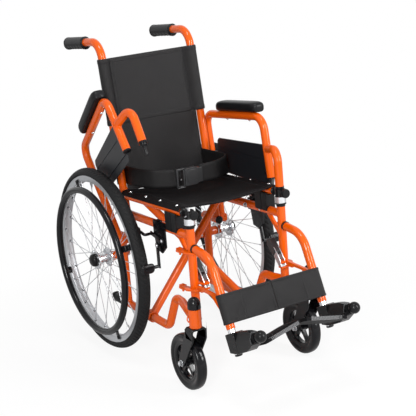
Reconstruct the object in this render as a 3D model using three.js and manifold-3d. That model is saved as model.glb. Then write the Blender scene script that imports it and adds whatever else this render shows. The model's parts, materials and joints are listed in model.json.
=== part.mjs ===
// A folding manual wheelchair with a child's 12 inch seat, as an assembly of separate pieces.
// Millimetres, +Z up, front towards -Y, the occupant's right towards -X.
// While it is built, y = 0 is the rear axle, z = 0 is the floor and x = 0 is the middle plane.
// Every handed shape is drawn for the left side, with +X outboard, and mirrored for the right.

import * as THREE from 'three';
import { mergeVertices } from 'three/addons/utils/BufferGeometryUtils.js';
import Module from 'manifold-3d';

const wasm = await Module();
wasm.setup();

// Driving dimensions of the chair as a whole
const frameHalf = 138;            // middle plane of each side frame
const gap = 0.4;                  // between pieces that touch
const tubeRadius = 11.1;          // 7/8 inch frame tube
const tubeSides = 10;
const boreSides = 16;
const wheelRadius = 257;          // rear wheel over its tyre
const wheelOffset = 61;           // side frame to the wheel's middle plane
const casterRadius = 75;
const frontTubeY = -404;
const frontTubeTop = 424;
const frontTubeBottom = 178;
const upperRailRear = [-60, 388]; // y and z of the rail's two ends
const upperRailFrontZ = 399;
const lowerRailZ = 112;
const lowerRailRearY = 54;
const rearPostY = -14;
const stubZ = 313;                // short tube that ties the cane to the rear post
const stubFrontY = -84;
const caneFoot = [-70, 316];
const caneCorner = [8, 853];      // where the cane would turn into the push handle
const handleEnd = [205, 834.7];
const handleBend = 48;
const gripLength = 116;
const gripEnd = 4;

// Rear wheel
const tyreWidth = 35;
const tyreDepth = 19;
const rimDepth = 18;
const rimWidth = 25;
const handrimOffset = 36;
const handrimTube = 9.5;
const handrimRadius = wheelRadius - 55.5;
const handrimTabs = 4;
const handrimTabTurn = -22;       // degrees from the top of the wheel to its first tab, towards the front
const hubRadius = 16;
const flangeRadius = 27;
const flangeOffset = 19;
const spokesPerFlange = 18;
const spokeRadius = 1.15;
const spokeLayer = 2.2;           // half the distance between crossing spokes at the flange
const spokeReach = 0.1;
const spokeSweep = 60;            // degrees round the wheel between a spoke's two ends
const axleRadius = 6;
const wheelSteps = 36;

// Caster
const casterStem = { x: frameHalf + 39, y: frontTubeY - 58 };
const casterTrail = 52;
const casterWidth = 28;
const housingRadius = 16;
const housingBottom = 183.5;
const housingTop = 233;
const stemRadius = 6;
const forkInside = 17.5;
const forkWall = 4;

// Cross brace and seat
const braceY = { right: -151, left: -175 };   // planes of the two crossing tubes
const seatRailRear = [-72, 440];
const seatRailFront = [-378, 456];
const sleeveWall = 4;
const slingThickness = 3;
const seatHalf = frameHalf + 14;
const seatSag = 10;

// Back
const sleeveBottom = 629;
const backTop = 806;
const backBottom = 474;
const sleeveThickness = 2.6;
const backSag = 9;

// Armrest, drawn in its own upright plane, y and z measured from its rear pivot.
// The plane lies outboard of the seat rail, and the front loop leads inboard to the front tube.
const armPivot = new THREE.Vector3(frameHalf + 26, -56, 309.5);
const armYaw = Math.atan(0.014);
const armAxis = new THREE.Vector3(1, -0.057, -0.215).normalize();
const armFlipShown = THREE.MathUtils.degToRad(31.7);
const armBoss = 14.4;             // the boss's reach along the pivot, inboard
const armBossOutboard = 12;
const armBossRadius = 12;
const armRearTop = [45.5, 299.5];
const armFrontTop = [-252.5, 330.5];
const armPostFoot = [-278, 169.5];
const armLoopStart = [-266, 246];
const armLoopCorner = [-346, 260];
const armLegFoot = [-348, 157.5];
const armLegInboard = armPivot.x - frameHalf - (armPivot.y - frontTubeY) * Math.tan(armYaw);
const armRearBend = 34;
const armFrontBend = 38;
const armLoopBend = 30;
const armPinLength = 33;
const armPinRadius = 5;
const socketWall = 4;
const armOpening = THREE.MathUtils.degToRad(35);
const knobReach = 19;
const boltShort = 8;              // between the knob's bolt and the pin that it holds
const knobZ = 457.5;
const padRear = -27;
const padFront = -235;
const padWidth = 40;
const padHeight = 28;
const padOutboard = 5;
const panelThickness = 4;
const panelTop = [238, 256];      // z at the panel's rear and front
const panelBottom = 165;

// Front hanger, foot tube and footplate
const hangerPivot = { x: frameHalf + 13, y: frontTubeY + 38 };
const hangerStart = [-420.4, 368];
const hangerCorner = [-492, 362];
const hangerEnd = [-567, 199];
const hangerBend = 62;
const footTubeRadius = 9.4;
const footTubeInside = 90;
const footTubeBelow = 64;
const plateThickness = 5;
const upperPlateZ = 360;
const lowerPlateZ = 262;
const hangerGusset = [[-424, 259.7], [-424, 273], [-524, 272], [-545, 222], [-487, 264.4], [-446, 264.4], [-444, 259.7]];
const gussetSlot = [[-428, 257], [-428, 282], [-540, 282], [-556, 219]];
const latchInboard = 21;
const latchY = -425;
const latchHeight = 8;
const calfStrap = [13, 87];       // along the hanger tube, up from its end
const hingeBelow = 36;
const blockFront = -101;
const ballRadius = 15;
const knuckleLength = 11;
const footplateReach = frameHalf - 4;
const footplateDepth = 84;
const footplateRoll = THREE.MathUtils.degToRad(12);

// Wheel lock
const shoePivot = [-wheelRadius - 5, 346];
const brakePivot = [shoePivot[0] - 20, 362];
const shoeZ = wheelRadius + 33;
const brakeLength = 144;
const brakeHandleX = frameHalf + 39;   // outboard of the armrest and inboard of the tyre
const brakeLocked = THREE.MathUtils.degToRad(80);
const brakeFree = THREE.MathUtils.degToRad(-15.5);
const shoeFree = THREE.MathUtils.degToRad(15);

// Lap belt
const beltHeight = 50;
const beltThickness = 2.4;
const beltBottom = seatRailFront[1] + 13;
const buckle = { left: 23, right: -55, y: -203, height: 52, depth: 15 };

// Finishes
const finish = (color, roughness, metalness) => new THREE.MeshStandardMaterial({ color, roughness, metalness });
const orange = finish(0xff6a10, 0.32, 0.1);
const rubber = finish(0x1b1b1d, 0.8, 0);
const plastic = finish(0x1d1e20, 0.45, 0);
const blackMetal = finish(0x161618, 0.4, 0.4);
const chrome = finish(0xd0d3d6, 0.15, 1);
const alloy = finish(0xb9bdc2, 0.35, 0.9);
const cloth = finish(0x1c1c1f, 0.9, 0);

// Turns a closed three.js geometry into a solid, leaving out triangles that have no area.
function toSolid(geometry) {
  const bare = geometry.clone();
  bare.deleteAttribute('normal');
  bare.deleteAttribute('uv');
  const merged = mergeVertices(bare, 1e-3);
  const place = merged.attributes.position;
  const kept = [];
  let volume = 0;
  const a = new THREE.Vector3();
  const b = new THREE.Vector3();
  const c = new THREE.Vector3();
  for (let i = 0; i < merged.index.count; i += 3) {
    const [p, q, r] = [merged.index.getX(i), merged.index.getX(i + 1), merged.index.getX(i + 2)];
    if (p === q || q === r || r === p) continue;
    kept.push(p, q, r);
    a.fromBufferAttribute(place, p);
    b.fromBufferAttribute(place, q);
    c.fromBufferAttribute(place, r);
    volume += a.dot(b.cross(c));
  }
  if (volume < 0) kept.reverse();
  return new wasm.Manifold(new wasm.Mesh({
    numProp: 3,
    vertProperties: new Float32Array(place.array),
    triVerts: new Uint32Array(kept),
  }));
}

function toGeometry(solid) {
  const mesh = solid.getMesh();
  const geometry = new THREE.BufferGeometry();
  geometry.setAttribute('position', new THREE.BufferAttribute(new Float32Array(mesh.vertProperties), 3));
  geometry.setIndex(new THREE.BufferAttribute(new Uint32Array(mesh.triVerts), 1));
  geometry.computeVertexNormals();
  return geometry;
}

// Joins some shapes and cuts others out of them.
function shape(joined, removed = []) {
  let solid = toSolid(joined[0]);
  for (const other of joined.slice(1)) solid = solid.add(toSolid(other));
  for (const other of removed) solid = solid.subtract(toSolid(other));
  return toGeometry(solid);
}

// The same shape for the other side of the chair.
function mirrored(geometry) {
  const copy = geometry.clone();
  copy.scale(-1, 1, 1);
  copy.index.array.reverse();
  copy.computeVertexNormals();
  return copy;
}

// A path of straight runs with round bends, one station at each end of a run and several in a bend.
class BentPath extends THREE.Curve {
  constructor(corners, bends, bendSteps = 5) {
    super();
    const points = corners.map((corner) => new THREE.Vector3(...corner));
    const heading = (i) => points[i + 1].clone().sub(points[i]).normalize();
    this.stations = [{ point: points[0], tangent: heading(0) }];
    for (let i = 1; i < points.length - 1; i++) {
      const before = heading(i - 1);
      const after = heading(i);
      const turn = before.angleTo(after);
      const radius = Array.isArray(bends) ? bends[i - 1] : bends;
      const hinge = before.clone().cross(after).normalize();
      const start = points[i].clone().addScaledVector(before, -radius * Math.tan(turn / 2));
      const centre = start.clone().addScaledVector(hinge.clone().cross(before), radius);
      for (let k = 0; k <= bendSteps; k++) {
        const part = turn * k / bendSteps;
        const point = start.clone().sub(centre).applyAxisAngle(hinge, part).add(centre);
        this.stations.push({ point, tangent: before.clone().applyAxisAngle(hinge, part) });
      }
    }
    this.stations.push({ point: points.at(-1), tangent: heading(points.length - 2) });
  }

  at(u) {
    return this.stations[Math.round(u * (this.stations.length - 1))];
  }

  getPoint(u) {
    return this.at(u).point.clone();
  }

  getPointAt(u) {
    return this.at(u).point.clone();
  }

  getTangentAt(u) {
    return this.at(u).tangent.clone();
  }
}

function ring(radius, sides) {
  const points = [];
  for (let i = 0; i < sides; i++) {
    const angle = 2 * Math.PI * i / sides;
    points.push(new THREE.Vector2(radius * Math.cos(angle), radius * Math.sin(angle)));
  }
  return new THREE.Shape(points);
}

// A round bar along straight runs and bends.
function bar(corners, radius, bends = 30, sides = tubeSides, bendSteps = 5) {
  const path = new BentPath(corners, bends, bendSteps);
  const steps = path.stations.length - 1;
  return new THREE.ExtrudeGeometry(ring(radius, sides), { steps, bevelEnabled: false, extrudePath: path });
}

// A bar in a side plane, its corners given as y and z.
const sideBar = (x, corners, radius, bends, sides) => bar(corners.map(([y, z]) => [x, y, z]), radius, bends, sides);

// Straight bars along X and Z
const barX = (x0, x1, y, z, radius, sides = 12) => bar([[x0, y, z], [x1, y, z]], radius, 0, sides);
const barZ = (z0, z1, x, y, radius, sides = 12) => bar([[x, y, z0], [x, y, z1]], radius, 0, sides);

function box(x0, x1, y0, y1, z0, z1) {
  const geometry = new THREE.BoxGeometry(x1 - x0, y1 - y0, z1 - z0);
  return geometry.translate((x0 + x1) / 2, (y0 + y1) / 2, (z0 + z1) / 2);
}

// A flat plate in a side plane: its outline in y and z, its faces at two x.
function sidePlate(outline, x0, x1) {
  const flat = new THREE.Shape(outline.map(([y, z]) => new THREE.Vector2(y, z)));
  const geometry = new THREE.ExtrudeGeometry(flat, { depth: x1 - x0, bevelEnabled: false });
  const [right, ahead, up] = [0, 1, 2].map((axis) => new THREE.Vector3().setComponent(axis, 1));
  return geometry.applyMatrix4(new THREE.Matrix4().makeBasis(ahead, up, right)).translate(x0, 0, 0);
}

// A flat plate that lies level: its outline in x and y, its faces at two z.
function levelPlate(outline, z0, z1, hole) {
  const flat = new THREE.Shape(outline.map(([x, y]) => new THREE.Vector2(x, y)));
  if (hole) flat.holes.push(new THREE.Path(ring(hole, 16).getPoints()));
  return new THREE.ExtrudeGeometry(flat, { depth: z1 - z0, bevelEnabled: false }).translate(0, 0, z0);
}

// A profile of radius and distance turned about the X or the Z axis.
const profile = (points) => points.map(([r, h]) => new THREE.Vector2(r, h));
const turnedX = (points, steps) => new THREE.LatheGeometry(profile(points), steps).rotateZ(-Math.PI / 2);
const turnedZ = (points, steps) => new THREE.LatheGeometry(profile(points), steps).rotateX(Math.PI / 2);

// A closed skin between two surfaces, each a function of u and v from 0 to 1.
function skin(front, back, uSteps, vSteps) {
  const places = [];
  for (const surface of [front, back]) {
    for (let i = 0; i <= uSteps; i++) {
      for (let j = 0; j <= vSteps; j++) places.push(...surface(i / uSteps, j / vSteps));
    }
  }
  const row = vSteps + 1;
  const layer = row * (uSteps + 1);
  const faces = [];
  const quad = (a, b, c, d) => faces.push(a, b, c, a, c, d);
  for (let i = 0; i < uSteps; i++) {
    for (let j = 0; j < vSteps; j++) {
      const a = i * row + j;
      quad(a, a + row, a + row + 1, a + 1);
      quad(layer + a, layer + a + 1, layer + a + row + 1, layer + a + row);
    }
  }
  for (let i = 0; i < uSteps; i++) {
    const [a, b] = [i * row, (i + 1) * row];
    quad(a, layer + a, layer + b, b);
    quad(b + vSteps, layer + b + vSteps, layer + a + vSteps, a + vSteps);
  }
  for (let j = 0; j < vSteps; j++) {
    const far = uSteps * row + j;
    quad(j + 1, layer + j + 1, layer + j, j);
    quad(far, layer + far, layer + far + 1, far + 1);
  }
  const geometry = new THREE.BufferGeometry();
  geometry.setAttribute('position', new THREE.BufferAttribute(new Float32Array(places), 3));
  geometry.setIndex(faces);
  return geometry;
}

const chair = new THREE.Group();

function add(group, name, geometry, material) {
  const mesh = new THREE.Mesh(geometry, material);
  mesh.name = name;
  group.add(mesh);
}

// The value at y of a straight line through two points.
const along = (y, [y0, z0], [y1, z1]) => z0 + (z1 - z0) * (y - y0) / (y1 - y0);
const upperRailZ = (y) => along(y, upperRailRear, [frontTubeY, upperRailFrontZ]);
const seatRailZ = (y) => along(y, seatRailRear, seatRailFront);
const wheelPlane = frameHalf + wheelOffset;

// The welded side frame, from push handle to caster housing
function sideFrame() {
  const x = frameHalf;
  const lugZ = (z) => z - plateThickness / 2 - gap - plateThickness;
  const lug = (z) => levelPlate([
    [x - 6, frontTubeY + 4],
    [x + 8, frontTubeY + 7],
    [hangerPivot.x + 8, hangerPivot.y - 4],
    [hangerPivot.x + 8, hangerPivot.y + 8],
    [hangerPivot.x - 8, hangerPivot.y + 8],
  ], lugZ(z), lugZ(z) + plateThickness);
  const latchX = x - latchInboard;
  const latchZ = lowerPlateZ + plateThickness / 2 + gap;
  const latchLug = levelPlate([
    [x - 2, frontTubeY - 9], [x - 2, frontTubeY + 9], [latchX - 7, latchY + 9], [latchX - 7, latchY - 7],
    [latchX + 7, latchY - 7],
  ], latchZ + latchHeight + gap, latchZ + latchHeight + gap + plateThickness);
  const caster = casterStem;
  const armBossAt = (reach) => armPivot.clone().addScaledVector(armAxis, -reach).toArray();
  return shape([
    sideBar(x, [caneFoot, caneCorner, handleEnd], tubeRadius, handleBend),
    sideBar(x, [upperRailRear, [frontTubeY, upperRailFrontZ]], tubeRadius),
    barZ(frontTubeBottom, frontTubeTop, x, frontTubeY, tubeRadius, tubeSides),
    sideBar(x, [[rearPostY + tubeRadius, stubZ], [stubFrontY, stubZ]], tubeRadius),
    barZ(lowerRailZ, stubZ, x, rearPostY, tubeRadius, tubeSides),
    bar([
      [x, lowerRailRearY, lowerRailZ],
      [x, -250, lowerRailZ],
      [x, -300, 207],
      [x + 3, -336, 207],
      [caster.x, caster.y + housingRadius - 4, 207],
    ], tubeRadius, [30, 24, 30], tubeSides, 4),
    barZ(housingBottom, housingTop, caster.x, caster.y, housingRadius),
    box(x + 4, x + 20, frontTubeY - 5, frontTubeY + 5, 197, 217),
    barX(x - 15, wheelPlane - flangeOffset - 5 - gap, 0, wheelRadius, 13),
    sidePlate([[-26, wheelRadius - 24], [6, wheelRadius - 24], [6, wheelRadius + 50], [-26, wheelRadius + 50]],
      x - 3, x + 3),
    bar([armBossAt(armBoss + gap), armBossAt(armBoss + 14)], armBossRadius, 0, 16),
    sidePlate([[-335, 392], [-349, 392], [-400, 343], [-400, 330]], x - 4, x + 4),
    lug(upperPlateZ),
    lug(lowerPlateZ),
    latchLug,
    barZ(latchZ, latchZ + latchHeight + 2, latchX, latchY, 3),
  ], [
    barZ(housingBottom - 5, housingTop - 8, caster.x, caster.y, stemRadius + gap),
    barX(x - 30, wheelPlane, 0, wheelRadius, axleRadius + gap),
    barZ(frontTubeTop - 24, frontTubeTop + 5, x, frontTubeY, tubeRadius - 2),
    barZ(lugZ(upperPlateZ) - 1, lugZ(upperPlateZ) + 6, hangerPivot.x, hangerPivot.y, 3.4),
    barZ(lugZ(lowerPlateZ) - 1, lugZ(lowerPlateZ) + 6, hangerPivot.x, hangerPivot.y, 3.4),
  ]);
}

// A finger-grooved rubber grip that closes over the handle's end
function pushGrip() {
  const length = gripLength;
  const bore = tubeRadius + gap;
  const outside = 16;
  const points = [[0, length + 3], [9, length + 3], [13, length + 1]];
  const grooves = 4;
  for (let i = 0; i <= grooves * 2; i++) {
    points.push([outside - (i % 2 ? 1.6 : 0), length - 6 - (length - 18) * i / (grooves * 2)]);
  }
  points.push([14, 4], [14, 0], [bore, 0], [bore, length - gripEnd], [0, length - gripEnd]);
  return shape([turnedZ(points.reverse(), 14)]);
}

// Rear wheel pieces, drawn about the X axis with the wheel's middle plane at x = 0
function rearTyre() {
  const half = tyreWidth / 2;
  const inner = wheelRadius - tyreDepth;
  const outline = [
    [inner, -half * 0.7], [inner + 3, -half], [inner + 11, -half * 0.9], [wheelRadius - 3, -half * 0.5],
    [wheelRadius, 0], [wheelRadius - 3, half * 0.5], [inner + 11, half * 0.9], [inner + 3, half],
    [inner, half * 0.7], [inner, -half * 0.7],
  ];
  return shape([turnedX(outline, wheelSteps)]);
}

function rearRim() {
  const outer = wheelRadius - tyreDepth - gap;
  const inner = outer - rimDepth;
  const half = rimWidth / 2;
  const outline = [
    [inner, -half * 0.8], [inner + 3, -half], [outer, -half], [outer, half], [inner + 3, half],
    [inner, half * 0.8], [inner, -half * 0.8],
  ];
  return shape([turnedX(outline, wheelSteps)]);
}

function hubWithSpokes() {
  const rimInside = wheelRadius - tyreDepth - gap - rimDepth;
  const f = flangeOffset;
  const body = turnedX([
    [axleRadius + gap, -f - 5], [hubRadius - 2, -f - 5], [hubRadius, -f - 3], [flangeRadius, -f - 3],
    [flangeRadius, -f + 3], [hubRadius - 4, -f + 4], [hubRadius - 4, f - 4],
    [flangeRadius, f - 3], [flangeRadius, f + 3], [hubRadius, f + 3], [hubRadius - 2, f + 6],
    [axleRadius + gap, f + 6], [axleRadius + gap, -f - 5],
  ], 18);
  const spokes = [];
  for (const side of [-1, 1]) {
    for (let i = 0; i < spokesPerFlange; i++) {
      const step = 2 * Math.PI / spokesPerFlange;
      const start = step * (i + (side > 0 ? 0.5 : 0));
      const sweep = THREE.MathUtils.degToRad(spokeSweep) * (i % 2 ? 1 : -1);
      const layer = i % 2 ? spokeLayer : -spokeLayer;
      const root = flangeRadius - 4;
      const tip = rimInside * Math.cos(Math.PI / wheelSteps) - gap + spokeReach;
      spokes.push(bar([
        [side * f + layer, root * Math.cos(start), root * Math.sin(start)],
        [side * 6 + layer * 0.7, tip * Math.cos(start + sweep), tip * Math.sin(start + sweep)],
      ], spokeRadius, 0, 3));
    }
  }
  return shape([body, ...spokes]);
}

function handrim() {
  const outline = [];
  const sides = 7;
  for (let i = 0; i <= sides; i++) {
    const angle = 2 * Math.PI * i / sides;
    outline.push([handrimRadius + handrimTube * Math.cos(angle), handrimTube * Math.sin(angle)]);
  }
  const tabs = [];
  for (let i = 0; i < handrimTabs; i++) {
    const foot = rimWidth / 2 + gap - handrimOffset;
    const rimInside = wheelRadius - tyreDepth - gap - rimDepth;
    for (const tab of [
      box(foot, 0, -9, 9, handrimRadius - 3, handrimRadius + 3),
      box(foot, foot + 4, -9, 9, handrimRadius - 3, rimInside + 11),
    ]) {
      tabs.push(tab.rotateX(THREE.MathUtils.degToRad(handrimTabTurn) + 2 * Math.PI * i / handrimTabs));
    }
  }
  return shape([turnedX(outline, wheelSteps), ...tabs]);
}

function rearAxle() {
  const inner = frameHalf - 15 - gap - wheelPlane;
  return shape([
    barX(inner - 7, inner, 0, 0, 11, 6),
    barX(inner, flangeOffset + 12, 0, 0, axleRadius),
    barX(flangeOffset + 6 + gap, flangeOffset + 12, 0, 0, 12),
  ]);
}

// Caster pieces, drawn with the swivel axis at x = y = 0 and the floor at z = 0
function casterFork() {
  const top = housingBottom - gap;
  const leg = (x0, x1) => sidePlate([
    [-15, top - 12], [19, top - 12], [casterTrail + 13, casterRadius + 8], [casterTrail + 8, casterRadius - 11],
    [casterTrail - 7, casterRadius - 11], [casterTrail - 13, casterRadius + 2], [-13, 150],
  ], x0, x1);
  const outer = forkInside + forkWall;
  return shape([
    box(-outer, outer, -15, 19, top - 12, top),
    leg(forkInside, outer),
    leg(-outer, -forkInside),
    barZ(top - 2, top + 38, 0, 0, stemRadius),
  ], [barX(-30, 30, casterTrail, casterRadius, 4 + gap, 12)]);
}

// Five spokes, and a solid tyre moulded on their rim
function casterWheel() {
  const rim = casterRadius - 20;
  const half = casterWidth / 2;
  const spoke = box(-6, 6, -5, 5, 10, rim - 3);
  const hub = turnedX([[4 + gap, -16.5], [13, -16.5], [13, 16.5], [4 + gap, 16.5], [4 + gap, -16.5]], 12);
  const band = turnedX([
    [rim - 8, -10], [rim, -11], [rim + 8, -half], [rim + 14, -half * 0.86], [casterRadius, -half * 0.3],
    [casterRadius, half * 0.3], [rim + 14, half * 0.86], [rim + 8, half], [rim, 11], [rim - 8, 10],
    [rim - 8, -10],
  ], 26);
  const spokes = [0, 1, 2, 3, 4].map((i) => spoke.clone().rotateX(2 * Math.PI * i / 5));
  return shape([hub, band, ...spokes]);
}

function casterAxle() {
  const end = forkInside + forkWall + gap;
  return shape([
    barX(-end - 4, end + 4, 0, 0, 4, 12),
    barX(-end - 4, -end, 0, 0, 8, 6),
    barX(end, end + 4, 0, 0, 8, 6),
  ]);
}

function casterCap() {
  const r = housingRadius + 1;
  return shape([turnedZ([[0, 0], [r, 0], [r, 11], [r * 0.93, 19], [r * 0.7, 26], [r * 0.35, 29.5], [0, 30]], 16)]);
}

// One crossing tube with its sleeve on the lower rail and the seat rail that it carries.
// Drawn for the arm that stands on the left lower rail and carries the right seat rail.
function crossArm(y) {
  const x = frameHalf;
  const top = seatRailZ(y);
  const sleeveLength = 22;
  const outer = tubeRadius + gap + sleeveWall;
  return shape([
    bar([[x - 8, y, lowerRailZ + 9], [-x, y, top]], tubeRadius, 0),
    sideBar(x, [[y - sleeveLength / 2, lowerRailZ], [y + sleeveLength / 2, lowerRailZ]], outer, 0, 16),
    sideBar(-x, [seatRailRear, seatRailFront], tubeRadius),
  ], [
    sideBar(x, [[y - 30, lowerRailZ], [y + 30, lowerRailZ]], tubeRadius + gap, 0, boreSides),
    sideBar(0, [[y - 30, braceCrossZ], [y + 30, braceCrossZ]], 5 + gap, 0),
  ]);
}

// A cradle clipped on the upper rail, open at the top for the seat rail
function saddle() {
  const [rear, front] = [-300, -356];
  const x = frameHalf;
  const seat = (y) => seatRailZ(y);
  const cradle = tubeRadius + gap;
  const open = sidePlate([
    [rear + 5, seat(rear + 5)], [front - 5, seat(front - 5)],
    [front - 5, seat(front) + 40], [rear + 5, seat(rear) + 40],
  ], x - cradle, x + cradle);
  return shape([
    sidePlate([
      [rear, upperRailZ(rear) - 8], [front, upperRailZ(front) - 8],
      [front, seat(front) + 3], [rear, seat(rear) + 3],
    ], x - 15, x + 15),
  ], [
    sideBar(x, [[rear + 9, upperRailZ(rear + 9)], [front - 9, upperRailZ(front - 9)]], cradle),
    sidePlate([
      [rear + 5, upperRailZ(rear) - 12], [front - 5, upperRailZ(front) - 12],
      [front - 5, upperRailZ(front)], [rear + 5, upperRailZ(rear)],
    ], x - cradle, x + cradle),
    sideBar(x, [[rear + 9, seat(rear + 9)], [front - 9, seat(front - 9)]], cradle),
    open,
    box(x - 30, x + 30, front + 18, rear - 18, upperRailZ(front) + 22, seat(front) - 20),
  ]);
}

// Armrest pieces, in the armrest's own plane x = 0.
// The loop's leg ends in a pin that stands in the socket on the front tube.
function armFrame() {
  const axis = armAxis.clone().applyAxisAngle(new THREE.Vector3(0, 0, 1), armYaw);
  const [legY, legZ] = armLegFoot;
  const legX = -armLegInboard;
  return shape([
    sideBar(0, [[0, 0], armRearTop, armFrontTop, armPostFoot], tubeRadius, [armRearBend, armFrontBend]),
    bar([[0, ...armLoopStart], [legX, ...armLoopCorner], [legX, ...armLegFoot]], tubeRadius, armLoopBend),
    bar([-armBoss, armBossOutboard].map((reach) => axis.clone().multiplyScalar(reach).toArray()),
      armBossRadius, 0, 16),
    barZ(legZ - armPinLength, legZ + 2, legX, legY, armPinRadius, 10),
  ]);
}

function armPad() {
  const [z0, z1] = [padRear, padFront].map((y) => along(y, armRearTop, armFrontTop) + tubeRadius + gap);
  const place = (u, v, height) => {
    const end = Math.pow(1 - Math.pow(Math.abs(2 * v - 1), 8), 0.25) * 0.8 + 0.2;
    const x = padOutboard + (u - 0.5) * padWidth * end;
    return [x, padRear + (padFront - padRear) * v, z0 + (z1 - z0) * v + height];
  };
  const crown = (u, v) => {
    const across = Math.pow(Math.abs(2 * u - 1), 3);
    const lengthways = Math.pow(Math.abs(2 * v - 1), 8);
    return padHeight * (1 - 0.42 * across) * (1 - 0.35 * lengthways);
  };
  return shape([skin((u, v) => place(u, v, crown(u, v)), (u, v) => place(u, v, 0), 6, 10)]);
}

// The side panel reaches from the front post to the rear leg
function sidePanel() {
  const rear = 30;
  const front = armPostFoot[0] + 8;
  const half = panelThickness / 2;
  const outline = [
    [rear, panelBottom], [front, panelBottom], [front + 4, panelTop[1]], [-20, panelTop[0]],
    [-12, panelTop[0] - 8], [-10, panelBottom + 34], [rear + 5, panelBottom + 28],
  ];
  const groove = (x0, x1) => box(x0, x1, front + 30, -24, panelBottom + 46, panelBottom + 49);
  return shape([sidePlate(outline, -half, half)], [
    groove(half - 1, half + 1),
    groove(-half - 1, 1 - half),
    sideBar(0, [[0, 0], armRearTop], tubeRadius + gap, 0),
    sideBar(0, [armFrontTop, armPostFoot], tubeRadius + gap, 0),
  ]);
}

// The socket on the front tube, open towards the rear and outboard above its foot
function armSocket() {
  const z = frontTubeTop + gap;
  const top = armPivot.z + armLegFoot[1] - gap;
  const outer = tubeRadius + 2.4;
  const open = box(-20, 20, 0.5, 30, z + 8, top + 5);
  open.rotateZ(-armOpening).translate(frameHalf, frontTubeY, 0);
  return shape([
    barZ(z, top, frameHalf, frontTubeY, outer),
    box(frameHalf - 9, frameHalf + 9, frontTubeY - knobReach, frontTubeY - outer + 2, knobZ - 9, top),
  ], [
    barZ(z - 1, top + 1, frameHalf, frontTubeY, outer - socketWall),
    open,
    bar([[frameHalf, frontTubeY - 30, knobZ], [frameHalf, frontTubeY, knobZ]], 3 + gap, 0),
  ]);
}

// The round pull knob of the socket, with the bolt that holds the pin
function armKnob() {
  const y = frontTubeY - knobReach - gap;
  return shape([
    bar([[frameHalf, y - 11, knobZ], [frameHalf, y, knobZ]], 12, 0, 16),
    bar([[frameHalf, y - 1, knobZ], [frameHalf, frontTubeY - armPinRadius - boltShort, knobZ]], 3, 0),
  ]);
}

// Wheel lock pieces
const lockPlate = 3.6;
const lockPin = 3.5;
const lockInner = frameHalf + tubeRadius + gap + 4 + gap;

function brakeBracket() {
  const x = frameHalf + tubeRadius + gap;
  const grip = tubeRadius + gap;
  const [y, z] = brakePivot;
  const tab = { rear: y + 42, front: y + 20 };
  return shape([
    sidePlate([
      [y - 15, z + 49], [y + 46, z + 49], [y + 46, z + 14], [y + 36, z - 30], [y + 8, z - 36], [y - 15, z - 16],
    ], x, x + 4),
    barX(x, lockInner + lockPlate, brakePivot[0], brakePivot[1], lockPin),
    barX(x, lockInner + 2 * lockPlate + gap, shoePivot[0], shoePivot[1], lockPin),
    box(x - 10, x + 1, tab.front, tab.rear, upperRailZ(tab.front) + grip, upperRailZ(tab.front) + grip + 4),
    box(x - 10, x + 1, tab.front, tab.rear, upperRailZ(tab.rear) - grip - 4, upperRailZ(tab.rear) - grip),
  ]);
}

function brakeLever() {
  const x = lockInner;
  return shape([
    barX(x, x + lockPlate, 0, 0, 10),
    sidePlate([[-6, 0], [6, 0], [5, 58], [-5, 58]], x, x + lockPlate),
    box(x, brakeHandleX, -4, 4, 50, 58),
    barZ(50, brakeLength, brakeHandleX, 0, 4, 10),
  ], [barX(x - 1, x + lockPlate + 1, 0, 0, lockPin + gap)]);
}

function brakeShoe() {
  const x = lockInner + lockPlate + gap;
  const drop = shoeZ - shoePivot[1];
  return shape([
    barX(x, x + lockPlate, 0, 0, 9),
    sidePlate([[-6, drop - 5], [6, drop - 5], [6, 0], [-6, 0]], x, x + lockPlate),
    barX(x, wheelPlane + tyreWidth / 2 - 2, 0, drop, 6),
  ], [barX(x - 1, x + lockPlate + 1, 0, 0, lockPin + gap)]);
}

// Hanger pieces
const hangerSlope = Math.atan2(hangerCorner[0] - hangerEnd[0], hangerCorner[1] - hangerEnd[1]);

function hanger() {
  const x = frameHalf;
  const pin = hangerPivot;
  const outside = tubeRadius + 2;
  const plate = (z, inboard) => levelPlate([
    [pin.x - 5.5, pin.y + 6.5], [pin.x + 7, pin.y + 8], [pin.x + 13, frontTubeY], [x + 11, hangerStart[0] - 12],
    [x - inboard, hangerStart[0] - 12], [x - inboard, frontTubeY - outside], [x + 8, frontTubeY - outside],
    [x + outside, frontTubeY + 2], [x + outside, frontTubeY + 22], [pin.x - 8, pin.y - 6],
  ], z - plateThickness / 2, z + plateThickness / 2);
  return shape([
    sideBar(x, [hangerStart, hangerCorner, hangerEnd], tubeRadius, hangerBend),
    plate(upperPlateZ, 8),
    plate(lowerPlateZ, latchInboard + 7),
    sidePlate(hangerGusset, x - 4, x + 4),
    barZ(upperPlateZ - 16, upperPlateZ + 5, pin.x, pin.y, 3),
    barZ(lowerPlateZ - 16, lowerPlateZ + 5, pin.x, pin.y, 3),
  ], [boreAlongHanger()]);
}

// The bore in the hanger tube that guides the foot tube
function boreAlongHanger() {
  const bore = barZ(-20, footTubeInside + 5, 0, 0, footTubeRadius + gap, tubeSides);
  return bore.rotateX(-hangerSlope).translate(frameHalf, hangerEnd[0], hangerEnd[1]);
}

function hangerLatch() {
  return shape([
    barZ(0, 5, 0, 0, 7),
    levelPlate([[-5, 0], [4, 0], [4, 42], [-5, 42]], 0, 5),
    box(-7, 4, 36, 62, 0, latchHeight),
  ], [barZ(-1, 6, 0, 0, 3 + gap)]);
}

// Foot pieces, with z along the hanger tube and the tube's end at the origin
function footTube() {
  return shape([barZ(-footTubeBelow, footTubeInside, 0, 0, footTubeRadius, tubeSides)]);
}

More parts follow.
